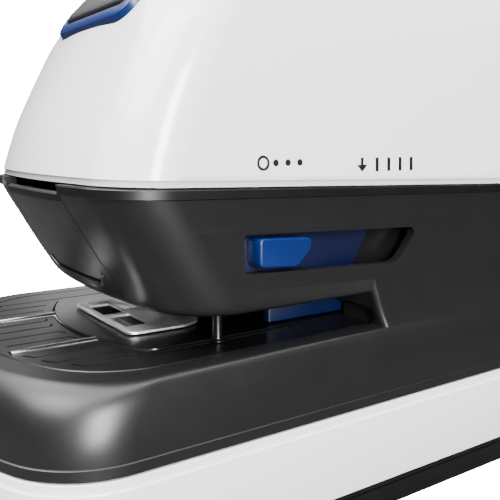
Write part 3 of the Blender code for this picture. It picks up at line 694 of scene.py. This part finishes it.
# ---- Front door -----------------------------------------------------------------------------
# The nose of the head is a hinged charcoal door: it swings out from the bottom to clear a
# jammed staple.  One moulding, with a finger lip near its lower edge and two hinge ears.
DOOR_TOP = 81.4
DOOR_BEVEL = ((-8.4, -1.9), (-8.4, 7.0), (0.5, 7.0))
LIP_Z = 60.3
LIP_HALF = 17.4
LIP_RISE = 2.6
LIP_POINTS = 30
LIP_STRAIGHT = 13.0
SCOOP_SECTION = [(-0.95, -0.1), (1.5, -0.5), (1.5, 0.75), (-0.95, 0.45)]
LIP_SECTION = [(-0.5, -0.3), (0.12, -0.3), (0.3, 0.0), (0.12, 0.28), (-0.5, 0.28)]
EAR_RADIUS = 2.4
EAR_SPAN = (10.4, 16.0)
PIN_RADIUS = 1.0
KNUCKLE_RADIUS = 2.05
DOOR_RIM_HALF = 18.3
DOOR_RIM_RISE = 1.95
DOOR_RIM_SECTION = [(-0.7, -1.05), (0.2, -1.05), (0.3, -0.9), (0.3, 0.45), (0.0, 0.75), (-0.7, 1.05)]


def head_front(z):
    """How far forward the middle of the head is at a height."""
    rows = through(HEAD_LEVELS, 3) + [(SPLIT_Z, -118.4, 43.3)]
    return float(np.interp(z, [row[0] for row in rows], [row[1] for row in rows]))


def on_nose(x, z):
    """The point of the head's front face at x and z."""
    return x, head_front(z) + NOSE_RADIUS - sqrt(NOSE_RADIUS ** 2 - x * x), z


hinge = [j for j in frame["joints"] if j["name"] == "front_door_hinge"][0]
hinge_y, hinge_z = hinge["pos_m"][1] / MM, hinge["pos_m"][2] / MM
door = solid("nose_door", *skin(head_rings))
work_with(door, [solid("door_hollow", *skin(hollow_rings))], "DIFFERENCE")
work_with(door, [door_tool("door_share", 0.1, DOOR_TOP)], "INTERSECT")
work_with(door, [bar("door_bevel", [(hinge_y + u, hinge_z + v) for u, v in DOOR_BEVEL],
                     "x", -40.0, 40.0)], "DIFFERENCE")
lip_route = []
for k in range(LIP_POINTS + 1):
    x = LIP_HALF * (2 * k / LIP_POINTS - 1)
    curl = max(0.0, (abs(x) - LIP_STRAIGHT) / (LIP_HALF - LIP_STRAIGHT))
    lip_route.append(on_nose(x, LIP_Z + LIP_RISE * curl ** 2))
work_with(door, [bar("ear_%d" % side, circle(hinge_y, hinge_z, EAR_RADIUS), "x",
                     *sorted(side * x for x in EAR_SPAN)) for side in (-1, 1)], "UNION")
work_with(door, [strip("lip_scoop", lip_route, SCOOP_SECTION),
                 bar("pin_way", circle(hinge_y, hinge_z, PIN_RADIUS), "x", -16.3, 16.3),
                 bar("knuckle_room", circle(hinge_y, hinge_z, KNUCKLE_RADIUS), "x", -10.3, 10.3)],
          "DIFFERENCE", 24.0)
fitted(door, charcoal, "front_door", "charcoal_shell", "front_door")
ridge = strip("finger_lip", [(x, y, z - 0.5) for x, y, z in lip_route], LIP_SECTION)
fitted(ridge, charcoal, "front_door", "charcoal_shell")
door_route = [(x, y, hinge_z + DOOR_RIM_RISE) for x, y, z in
              [on_nose(DOOR_RIM_HALF * k / 12, hinge_z + 1.4) for k in range(-12, 13)]]
fitted(strip("door_rim", door_route, DOOR_RIM_SECTION), rim_black, "front_door", "charcoal_shell")

# ---- Top cover ------------------------------------------------------------------------------
# The white hood over the works: one deep glossy moulding with walls that lean in as they rise,
# a crowned top, and a thin stepped lip where it sits on the body.
COVER_LIP = 1.25
COVER_STEP = 0.4
# height at the front, front y, half width and rear y
COVER_LEVELS = ((SPLIT_Z, -117.1, 43.3, 137.0), (87.5, -115.9, 43.1, 136.8), (96.2, -112.9, 42.7, 136.0),
                (104.9, -108.9, 42.1, 135.0), (111.5, -105.6, 41.4, 134.0), (117.5, -102.4, 40.6, 132.6),
                (123.0, -98.6, 39.4, 130.8), (128.0, -94.5, 37.8, 128.4), (132.5, -89.9, 35.7, 125.2),
                (136.5, -84.6, 33.0, 121.0), (140.0, -78.4, 29.4, 115.0), (143.0, -70.5, 24.8, 106.6),
                (145.4, -60.0, 19.6, 96.0), (147.0, -46.0, 14.0, 82.0), (148.0, -24.0, 8.0, 62.0))
TOP_Z = 148.0


def merged(parts):
    """The points and faces of several skins as one."""
    verts, faces = [], []
    for part_verts, part_faces in parts:
        faces += [tuple(i + len(verts) for i in face) for face in part_faces]
        verts += part_verts
    return verts, faces


def cover_ring(row, inset):
    """One level of the hood, or of its inner wall when it is inset."""
    z, front, half, rear = row
    share = max(0.0, 1.0 - (z - SPLIT_Z) / 40.0)
    corner = min(NOSE_CORNER, half * 0.45)
    back = min(18.0, half * 0.45)
    outline = footprint(half - inset, front + inset, rear - inset, NOSE_RADIUS - inset,
                        max(corner - inset, 1.0), max(back - inset, 1.0))
    drop = max(0.0, inset * (z - 130.0) / (TOP_Z - 130.0))
    return ring(outline, z - drop, SPLIT_FALL * share)


fine_rows = through(COVER_LEVELS, 6)


def cover_row(z):
    """Front, half width and rear of the hood at a height."""
    return (z,) + tuple(float(np.interp(z, [r[0] for r in fine_rows], [r[c] for r in fine_rows]))
                        for c in (1, 2, 3))


outer = [cover_ring(cover_row(SPLIT_Z), COVER_STEP + 0.15), cover_ring(cover_row(SPLIT_Z + 0.12), COVER_STEP),
         cover_ring(cover_row(SPLIT_Z + COVER_LIP), COVER_STEP),
         cover_ring(cover_row(SPLIT_Z + COVER_LIP + 0.03), 0.15),
         cover_ring(cover_row(SPLIT_Z + COVER_LIP + 0.2), 0.0)]
outer += [cover_ring(row, 0.0) for row in fine_rows if row[0] > SPLIT_Z + 2.2]
inner = [cover_ring(row, WALL) for row in through(COVER_LEVELS, 2)]
count, shift = len(outer[0]), len(outer) * len(outer[0])
verts, faces = merged([skin(outer, caps=False), skin(inner, caps=False)])
faces += [(i, (i + 1) % count, shift + (i + 1) % count, shift + i) for i in range(count)]
faces += [tuple(range(end - count, end)) for end in (shift, len(verts))]
hood = solid("white_hood", verts, faces)
outer_verts, outer_faces = skin(outer)
hood_shape = BVHTree.FromPolygons([Vector(p) for p in outer_verts], outer_faces)

BUTTON_EDGE = (-101.13, 118.86)
BUTTON_SLOPE = radians(41.5)
BUTTON_LONG = 33.7
BUTTON_HALF = 21.8


def on_slope(along, out):
    """A y, z point in the button's own frame: along its slope and out of its face."""
    c, s = cos(BUTTON_SLOPE), sin(BUTTON_SLOPE)
    return BUTTON_EDGE[0] + along * c - out * s, BUTTON_EDGE[1] + along * s + out * c


def round_corners(half_u, half_v, radius, steps=8):
    """A rectangle about the origin with round corners."""
    pts = []
    for cu, cv, quarter in ((1, 1, 0), (-1, 1, 1), (-1, -1, 2), (1, -1, 3)):
        for k in range(steps + 1):
            a = pi / 2 * (quarter + k / steps)
            pts.append((cu * (half_u - radius) + radius * cos(a), cv * (half_v - radius) + radius * sin(a)))
    return pts


def crown(u, along):
    """How far the hood's surface stands above the button's sloping plane."""
    start = Vector((u, *on_slope(along, 40.0)))
    down = Vector((u, *on_slope(along, 0.0))) - start
    hit = hood_shape.ray_cast(start, down.normalized())
    return 40.0 - hit[3] if hit[0] else 0.0


def flat_shaded(obj):
    """Let the wide faces rule the shading, so flats look flat up to their rounded edges."""
    even = obj.modifiers.new("even_shading", "WEIGHTED_NORMAL")
    even.keep_sharp = True
    settle(obj)


gate = round_corners(BUTTON_HALF + 0.4, BUTTON_LONG / 2 + 0.4, 6.4)
work_with(hood, [solid("button_way", *skin([[(u, *on_slope(BUTTON_LONG / 2 + v, out)) for u, v in gate]
                                            for out in (-20.0, 20.0)]))], "DIFFERENCE")
flat_shaded(hood)
fitted(hood, white_gloss, "chassis", "white_cover", "top_cover")

# ---- Push button ----------------------------------------------------------------------------
# A blue bezel follows the hood's curve round the hole, and the charcoal cap stands inside it
# on its spring: both are moulded, the cap with a coarse grip texture.
BEZEL_PROUD = 1.5
CAP_PROUD = 1.9
BEZEL_WIDE = 3.1

royal_blue = moulded("royal_blue", (0.001, 0.0105, 0.072), 0.32, grain=0.04, mottle=0.05)
grip_black = moulded("grip_black", (0.002, 0.002, 0.0022), 0.5, grain=1.0, mottle=0.15)


def on_hood(inset, rise, radius):
    """A ring of the button's outline, inset and raised from the hood's surface."""
    pts = []
    for u, v in round_corners(BUTTON_HALF - inset, BUTTON_LONG / 2 - inset, radius):
        along = BUTTON_LONG / 2 + v
        pts.append((u, *on_slope(along, crown(u, along) + rise)))
    return pts


bezel_section = [(0.0, -4.2), (0.0, BEZEL_PROUD - 0.4), (0.12, BEZEL_PROUD - 0.12), (0.4, BEZEL_PROUD),
                 (BEZEL_WIDE - 0.35, BEZEL_PROUD), (BEZEL_WIDE - 0.1, BEZEL_PROUD - 0.1),
                 (BEZEL_WIDE, BEZEL_PROUD - 0.4), (BEZEL_WIDE, -4.2)]
bezel = solid("blue_bezel", *skin([on_hood(i, rise, max(6.0 - i, 2.0)) for i, rise in bezel_section],
                                  closed_loop=True))
fitted(bezel, royal_blue, "chassis", "blue_plastic", "button_bezel")
cap_edge = BEZEL_WIDE + 0.4
cap_section = [(cap_edge, -3.6), (cap_edge, CAP_PROUD - 0.9), (cap_edge + 0.1, CAP_PROUD - 0.5),
               (cap_edge + 0.4, CAP_PROUD - 0.15), (cap_edge + 0.9, CAP_PROUD)]
cap_section += [(i, CAP_PROUD) for i in (6.0, 8.5, 11.0, 13.5, 16.0)]
cap = solid("button_cap", *skin([on_hood(i, rise, max(6.2 - i, 0.8)) for i, rise in cap_section]))
fitted(cap, grip_black, "manual_button", "black_gloss", "manual_button")

# ---- Deck plate -----------------------------------------------------------------------------
# The ribbed plate that the paper slides over drops into a recess in the body; narrow grooves
# run along it, turning at their ends to follow the nose and the anvil surround.
GROOVE_WIDE = 0.7
GROOVE_PITCH = 5.75
GROOVE_PLACES = (-5.5, -4.5, -3.5, -1.5, -0.5, 0.5, 1.5, 3.5, 4.5, 5.5)
GROOVE_REAR = -56.0
DECK_HALF = 40.2
DECK_FRONT = -130.2
DECK_REAR = -44.0
DECK_ROUND = 59.6
SURROUND_FRONT = -109.6
SURROUND_ROUND = 55.3

deck_black = moulded("deck_black", (0.0018, 0.0019, 0.0021), 0.36, grain=0.1, mottle=0.08)


def wires(name, lines):
    """An object of open lines only, given in mm."""
    points = [p for line in lines for p in line]
    edges = []
    first = 0
    for line in lines:
        edges += [(first + k, first + k + 1) for k in range(len(line) - 1)]
        first += len(line)
    mesh = bpy.data.meshes.new(name)
    mesh.from_pydata([Vector(p) * MM for p in points], edges, [])
    obj = bpy.data.objects.new(name, mesh)
    bpy.context.scene.collection.objects.link(obj)
    return obj


def swept(group, path, section, real):
    """Sweep a closed section along a curve in a tree, and hand it to the tree's end."""
    sweep = group.nodes.new("GeometryNodeCurveToMesh")
    sweep.inputs["Fill Caps"].default_value = True
    group.links.new(path, sweep.inputs["Curve"])
    group.links.new(section, sweep.inputs["Profile Curve"])
    group.links.new(sweep.outputs["Mesh"], real.inputs[0])


def square_wire(name, width_name, material):
    """A tree that gives lines a square section, with its width as the one named input."""
    group, source, real = tree(name, (width_name,), material)
    to_curve = group.nodes.new("GeometryNodeMeshToCurve")
    group.links.new(source.outputs["Geometry"], to_curve.inputs["Mesh"])
    section = group.nodes.new("GeometryNodeCurvePrimitiveQuadrilateral")
    group.links.new(source.outputs[width_name], section.inputs["Width"])
    group.links.new(source.outputs[width_name], section.inputs["Height"])
    swept(group, to_curve.outputs["Curve"], section.outputs["Curve"], real)
    return group


def arc_front(front, radius, x):
    """The y of a front arc at x."""
    return front + radius - sqrt(max(0.0, radius ** 2 - x * x))


deck = solid("ribbed_deck", *skin([
    ring(footprint(DECK_HALF - i, DECK_FRONT + i, DECK_REAR - i, DECK_ROUND, 22.2, 1.8), z)
    for i, z in ((0.0, DECK_Z - 2.0), (0.0, DECK_Z - 0.25), (0.25, DECK_Z))]))
surround_way = footprint(30.4, SURROUND_FRONT, -30.0, SURROUND_ROUND, 4.0, 1.0)
cuts = [solid("surround_way", *skin([ring(surround_way, z) for z in (40.0, 50.0)]))]
for side in ("left", "right"):
    low, high = span("glide_strip_" + side)
    cuts.append(block("strip_way_" + side, (low[0] - 0.25, low[1] - 0.25, DECK_Z - 0.8),
                      (high[0] + 0.25, -106.0, 50.0)))
work_with(deck, cuts, "DIFFERENCE")
lines = []
for k in GROOVE_PLACES:
    x = k * GROOVE_PITCH
    side = 1 if x > 0 else -1
    front = arc_front(DECK_FRONT, DECK_ROUND, x) + (3.4 if abs(k) < 5 else 4.6)
    rear = arc_front(SURROUND_FRONT, SURROUND_ROUND, x) - 2.6 if abs(x) < 31 else GROOVE_REAR
    line = [(x, front, DECK_Z), (x, rear, DECK_Z)]
    if abs(k) > 2:
        line.insert(0, (x - side * 2.8, front - 1.9, DECK_Z))
    else:
        line.append((x + side * 2.2, rear + 1.0, DECK_Z))
    lines.append(line)
grooves = wires("groove_lines", lines)
grown(grooves, square_wire("deck_grooves", "Groove width", deck_black), {"Groove width": GROOVE_WIDE})
work_with(deck, [grooves], "DIFFERENCE")
flat_shaded(deck)
fitted(deck, deck_black, "chassis", "charcoal_shell", "deck_plate")

# ---- Glide strips ---------------------------------------------------------------------------
# Two bright drawn steel strips lie in slots of the deck and carry the paper into the throat;
# each has a low rounded crest that stands a little above the deck.
STRIP_STEPS = 10
STRIP_CREST = 0.62

bright_steel = metal("bright_steel", (0.78, 0.79, 0.8), 0.2, brush=(1.0, 0.06, 1.0))
for side in ("left", "right"):
    low, high = span("glide_strip_" + side)
    middle, reach = (low[0] + high[0]) / 2, (high[0] - low[0]) / 2
    turns = [pi * k / STRIP_STEPS for k in range(STRIP_STEPS + 1)]
    crest = [(middle + reach * cos(a), high[2] - STRIP_CREST + STRIP_CREST * sin(a)) for a in turns]
    rod = bar("steel_strip_" + side, crest + [(low[0], low[2]), (high[0], low[2])], "y",
              low[1], high[1] - 0.4)
    fitted(rod, bright_steel, "chassis", "bright_steel", "glide_strip_" + side)

# ---- Anvil ----------------------------------------------------------------------------------
# Below the staple outlet a smooth satin black surround carries the stamped steel anvil plate;
# its two wells let the staple's legs fold over the clinchers below.
PLATE_ROUND = 1.2
WELL_X = (0.9, 12.6)
WELL_Y = (-98.8, -92.6)

black_gloss = moulded("black_gloss", (0.0015, 0.0015, 0.0016), 0.3, grain=0.03, mottle=0.1)
anvil_steel = metal("anvil_steel", (0.85, 0.86, 0.87), 0.46, brush=(0.08, 1.0, 1.0), grain=0.03)
low, high = span("anvil_surround")
surround = solid("gloss_surround", *skin([
    ring(footprint(30.0 - i, SURROUND_FRONT + 0.35 + i, high[1] - i, 55, 3.7, 1), z)
    for i, z in ((0.0, low[2]), (0.0, high[2] - 0.4), (0.12, high[2] - 0.12), (0.4, high[2]))]))
work_with(surround, [block("well_room", (-13.2, -99.6, 40.0), (13.2, -91.6, 50.0))], "DIFFERENCE")
flat_shaded(surround)
fitted(surround, black_gloss, "chassis", "black_gloss", "anvil_surround")


def bevelled(obj, width, segments=3, angle=35.0):
    """Ease the sharp edges of a piece by a small round."""
    ease = obj.modifiers.new("eased_edges", "BEVEL")
    ease.width = width * MM
    ease.segments = segments
    ease.limit_method = "ANGLE"
    ease.angle_limit = radians(angle)
    ease.use_clamp_overlap = True
    ease.harden_normals = True
    settle(obj, 30.0)


low, high = span("anvil_plate")
plate_shape = [(-17.0, -100.6), (17.4, -100.6), (18.6, -99.0), (19.0, -86.0), (17.0, -81.5), (13.2, -79.2),
               (10.4, -80.0), (6.0, -84.0), (1.0, -86.6), (-4.0, -87.8), (-17.0, -88.4)]
anvil = bar("steel_anvil", softened(plate_shape, PLATE_ROUND, 4), "z", low[2], high[2])
wells = []
for side in (-1, 1):
    (x0, x1), (y0, y1) = sorted(side * x for x in WELL_X), WELL_Y
    wells.append(bar("well_%d" % side, softened([(x0, y0), (x1, y0), (x1, y1), (x0, y1)], 0.7),
                     "z", 40.0, 52.0))
work_with(anvil, wells, "DIFFERENCE")
bevelled(anvil, 0.14, 2)
fitted(anvil, anvil_steel, "chassis", "bright_steel", "anvil_plate")

# ---- Guide post -----------------------------------------------------------------------------
# A thin black moulded post beside the anvil stops the paper's edge; it is pushed into the
# surround from above, on a small collar.
low, high = span("guide_post")
post_x, post_y, post_r = (low[0] + high[0]) / 2, (low[1] + high[1]) / 2, (high[0] - low[0]) / 2
post = turned("gloss_post", (post_x, post_y), [
    (post_r + 0.8, low[2]), (post_r + 0.8, low[2] + 0.3), (post_r + 0.6, low[2] + 0.5),
    (post_r + 0.1, low[2] + 0.6), (post_r, low[2] + 0.9), (post_r, high[2] - 0.3), (post_r - 0.3, high[2])])
fitted(post, black_gloss, "chassis", "black_gloss", "guide_post")

# ---- Mode slider ----------------------------------------------------------------------------
# The blue knob that picks automatic or manual stands proud of the side wall on a flat carrier that
# slides behind the window; a matt black liner closes the window from inside.  The carrier's blue is
# painted shade: a darker copy of the knob's blue that stands in for the shadow deep in the window.
KNOB_SIDE = [(-81.6, 65.6), (-71.2, 64.9), (-67.2, 68.9), (-67.2, 71.3), (-81.6, 72.0)]
CARRIER_SIDE = [(-91.0, 62.0), (-51.5, 61.0), (-45.0, 71.5), (-46.0, 73.4), (-91.0, 75.0)]
CARRIER_THICK = 2.5
LINER_SIDE = [(-94.0, 60.0), (-29.0, 60.0), (-29.0, 76.5), (-94.0, 76.5)]

# Painted shade: the carrier's blue is darkened to stand in for the shadow in the window.
painted_shade_blue = moulded("painted_shade_blue", (0.0008, 0.0025, 0.02), 0.4, grain=0.1, mottle=0.05)
low, high = span("mode_slider")
knob = bar("blue_knob", softened(KNOB_SIDE, 1.3), "x", low[0] + 2.4, high[0])
bevelled(knob, 0.6, 4)
carrier = bar("knob_carrier", softened(CARRIER_SIDE, 0.5), "x", low[0], low[0] + CARRIER_THICK)
bevelled(carrier, 0.3)
liner = bar("slot_liner", LINER_SIDE, "x", low[0] - 0.7, low[0] - 0.3)
fitted(liner, rim_black, "chassis", "black_matte")
fitted(knob, royal_blue, "mode_slider", "blue_plastic", "mode_slider")
fitted(carrier, painted_shade_blue, "mode_slider", "blue_plastic")

# ---- Paper stop -----------------------------------------------------------------------------
# A blue fork in the throat sets how deep the paper goes: two arms joined by a bar inside the
# neck, sliding on the deck.  Its blue is painted shade, a darker copy of the knob's blue that
# stands in for the shadow in the throat.
FORK_GAP_HALF = 24.8
FORK_BAR_Y = -36.0

# Painted shade: the fork's blue is darkened for the shadow in the throat.
painted_shade_stop_blue = moulded("painted_shade_stop_blue", (0.001, 0.0055, 0.036), 0.34, grain=0.05, mottle=0.05)
low, high = span("paper_stop")
fork = block("blue_fork", low, high)
work_with(fork, [block("fork_gap", (-FORK_GAP_HALF, low[1] - 3.0, 40.0), (FORK_GAP_HALF, FORK_BAR_Y, 60.0))],
          "DIFFERENCE")
bevelled(fork, 0.45)
fitted(fork, painted_shade_stop_blue, "paper_stop", "blue_plastic", "paper_stop")

# ---- Printed marks --------------------------------------------------------------------------
# Pad-printed black marks over the two ends of the slider's travel: a ring with three dots for
# automatic, and an arrow with four bars for manual.  They are a thin layer of ink on the hood.
INK_THICK = 0.05
MARK_TALL = 3.3
AUTO_MARK = (-81.4, 86.4)
MANUAL_MARK = (-52.8, 85.5)
RING_WIDE = 0.6
DOT_PITCH = 3.3
DOT_RADIUS = 0.75
ARROW = ((0, 1), (1, 0), (2, 1), (1.25, 1), (1.25, 2), (0.75, 2), (0.75, 1))
FIRST_BAR = 6.0
BAR_PITCH = 3.9
BAR_WIDE = 1.0

ink = moulded("black_ink", (0.0015, 0.0015, 0.0015), 0.5, grain=0.05, mottle=0.2)
mid = MARK_TALL / 2
ring_y, ring_z = AUTO_MARK[0] + mid, AUTO_MARK[1] + mid
arrow_y, arrow_z = MANUAL_MARK
marks = [circle(ring_y + DOT_PITCH * k, ring_z, DOT_RADIUS, 20) for k in (1, 2, 3)]
marks.append([(arrow_y + u * mid, arrow_z + v * mid) for u, v in ARROW])
for k in range(4):
    left = arrow_y + FIRST_BAR + BAR_PITCH * k
    marks.append([(left, arrow_z), (left + BAR_WIDE, arrow_z), (left + BAR_WIDE, arrow_z + MARK_TALL),
                  (left, arrow_z + MARK_TALL)])


def on_side(y, z, out):
    """A point just off the hood's side wall at y and z."""
    hit = hood_shape.ray_cast(Vector((80.0, y, z)), Vector((-1, 0, 0)))
    return hit[0].x + out, y, z


prints = [skin([[on_side(y, z, out) for y, z in outline] for out in (-0.05, INK_THICK)])
          for outline in marks]
prints.append(skin([[on_side(y, z, out) for y, z in circle(ring_y, ring_z, r, 32)] for r, out in
                    ((mid, -0.05), (mid, INK_THICK), (mid - RING_WIDE, INK_THICK), (mid - RING_WIDE, -0.05))],
                   closed_loop=True))
fitted(solid("mode_marks", *merged(prints)), ink, "chassis", "black_matte")

# ---- Power inlet ----------------------------------------------------------------------------
# The black moulded socket in the back of the neck takes the mains lead; it is pushed in from
# outside, and two round bright contacts stand in its well.
WELL_HALF = (7.6, 4.6)
WELL_FLOOR = 130.0
CONTACT_PITCH = 8.0
CONTACT_PROFILE = ((1.1, 128.0), (1.1, 137.0), (0.9, 137.4), (0.4, 137.5))

inlet_black = moulded("inlet_black", (0.003, 0.003, 0.0032), 0.4, grain=0.15, mottle=0.1)
socket_x, socket_z = (inlet_low[0] + inlet_high[0]) / 2, (inlet_low[2] + inlet_high[2]) / 2


def socket_outline(half_x, half_z, radius, steps):
    """A rounded rectangle about the socket's middle."""
    return [(u + socket_x, v + socket_z) for u, v in round_corners(half_x, half_z, radius, steps)]


socket = bar("inlet_body", socket_outline((inlet_high[0] - inlet_low[0]) / 2,
                                          (inlet_high[2] - inlet_low[2]) / 2, 1.2, 4),
             "y", inlet_low[1], inlet_high[1])
work_with(socket, [bar("socket_well", socket_outline(*WELL_HALF, 4.5, 8), "y", WELL_FLOOR, 150.0)],
          "DIFFERENCE")
bevelled(socket, 0.3)
fitted(socket, inlet_black, "chassis", "black_matte", "power_inlet")
contacts = [skin([[(x, y, z) for x, z in circle(socket_x + CONTACT_PITCH / 2 * side, socket_z, r, 20)]
                  for r, y in CONTACT_PROFILE]) for side in (-1, 1)]
fitted(solid("inlet_contacts", *merged(contacts)), bright_steel, "chassis", "bright_steel")

# ---- Staple strip ---------------------------------------------------------------------------
# A stick of wire staples glued side by side: each is the same bent wire, repeated along the
# magazine's channel.
WIRE_WIDE = 0.5
STAPLE_PITCH = 0.58

staple_steel = metal("staple_steel", (0.66, 0.66, 0.68), 0.3)
low, high = span("staple_strip")
half, crest = high[0] - WIRE_WIDE / 2, high[2] - WIRE_WIDE / 2
staple_count = int((high[1] - low[1] - WIRE_WIDE) / STAPLE_PITCH)
rows = [low[1] + WIRE_WIDE / 2 + STAPLE_PITCH * k for k in range(staple_count + 1)]
staple_wires = wires("staple_stick", [[(-half, y, low[2]), (-half, y, crest), (half, y, crest),
                                       (half, y, low[2])] for y in rows])
grown(staple_wires, square_wire("bent_wires", "Wire width", staple_steel), {"Wire width": WIRE_WIDE})
fitted(staple_wires, staple_steel, "chassis", "bright_steel", "staple_strip")

# ---- Springs --------------------------------------------------------------------------------
# Two coiled steel springs: a long soft one behind the pusher keeps the staples at the front,
# and a short stiff one under the button lifts its cap again.
COIL_STEPS = 20
BUTTON_FLOOR = -10.3
BUTTON_CEILING = -3.1
SPRING_ALONG = 16.2


def spring(name, node, foot, tip, radius, wire, turns):
    """A round-wire coil from its fixed foot to the tip that the joint presses in."""
    group, source, real = tree(name + "_coil", ("Coil radius", "Coil length", "Wire radius"), bright_steel)
    spiral = group.nodes.new("GeometryNodeCurveSpiral")
    spiral.inputs["Resolution"].default_value = COIL_STEPS
    spiral.inputs["Rotations"].default_value = turns
    for end in ("Start Radius", "End Radius"):
        group.links.new(source.outputs["Coil radius"], spiral.inputs[end])
    group.links.new(source.outputs["Coil length"], spiral.inputs["Height"])
    wire_round = group.nodes.new("GeometryNodeCurvePrimitiveCircle")
    wire_round.inputs["Resolution"].default_value = 8
    group.links.new(source.outputs["Wire radius"], wire_round.inputs["Radius"])
    swept(group, spiral.outputs["Curve"], wire_round.outputs["Curve"], real)
    along = Vector(tip) - Vector(foot)
    coil = wires(name, [[(0, 0, 0), (0, 0, 1)]])
    grown(coil, group, {"Coil radius": radius, "Coil length": along.length - 2 * wire, "Wire radius": wire})
    turn = along.to_track_quat("Z", "X").to_matrix().to_4x4()
    turn.translation = (Vector(foot) + along.normalized() * wire) * MM
    coil.data.transform(turn)
    fitted(coil, bright_steel, "chassis", "bright_steel", node)
    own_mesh(coil)


low, high = span("pusher_spring")
middle_z = (low[2] + high[2]) / 2
spring("push_coil", "pusher_spring", (0, high[1], middle_z), (0, low[1], middle_z), 1.0, 0.28, 9)
spring("lift_coil", "button_spring", (0, *on_slope(SPRING_ALONG, BUTTON_FLOOR)),
       (0, *on_slope(SPRING_ALONG, BUTTON_CEILING)), 2.6, 0.4, 4)

# ---- Works inside ---------------------------------------------------------------------------
# The stamped, turned and moulded pieces inside keep their own shapes and get the finish of
# their material: zinc plate, bright steel, natural nylon, green board and black plastic.
zinc_plate = metal("zinc_plate", (0.5, 0.51, 0.53), 0.36, grain=0.05, spots=0.35)
natural_nylon = moulded("natural_nylon", (0.62, 0.6, 0.52), 0.42, grain=0.08, mottle=0.05)
green_board = moulded("green_board", (0.015, 0.13, 0.055), 0.34, grain=0.2, mottle=0.25)
works_black = moulded("works_black", (0.003, 0.003, 0.0032), 0.45, grain=0.2, mottle=0.15)
works_finish = {"zinc_steel": zinc_plate, "bright_steel": bright_steel, "nylon": natural_nylon,
                "board": green_board, "black_matte": works_black, "black_gloss": black_gloss,
                "blue_plastic": royal_blue, "white_cover": white_gloss, "charcoal_shell": charcoal,
                "rubber_foot": rubber}
for entry in frame["record"]["subparts"]:
    node = frame["nodes"][entry["node"]]
    node.data.materials.clear()
    node.data.materials.append(works_finish[entry["material_slot"]])

low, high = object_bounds()
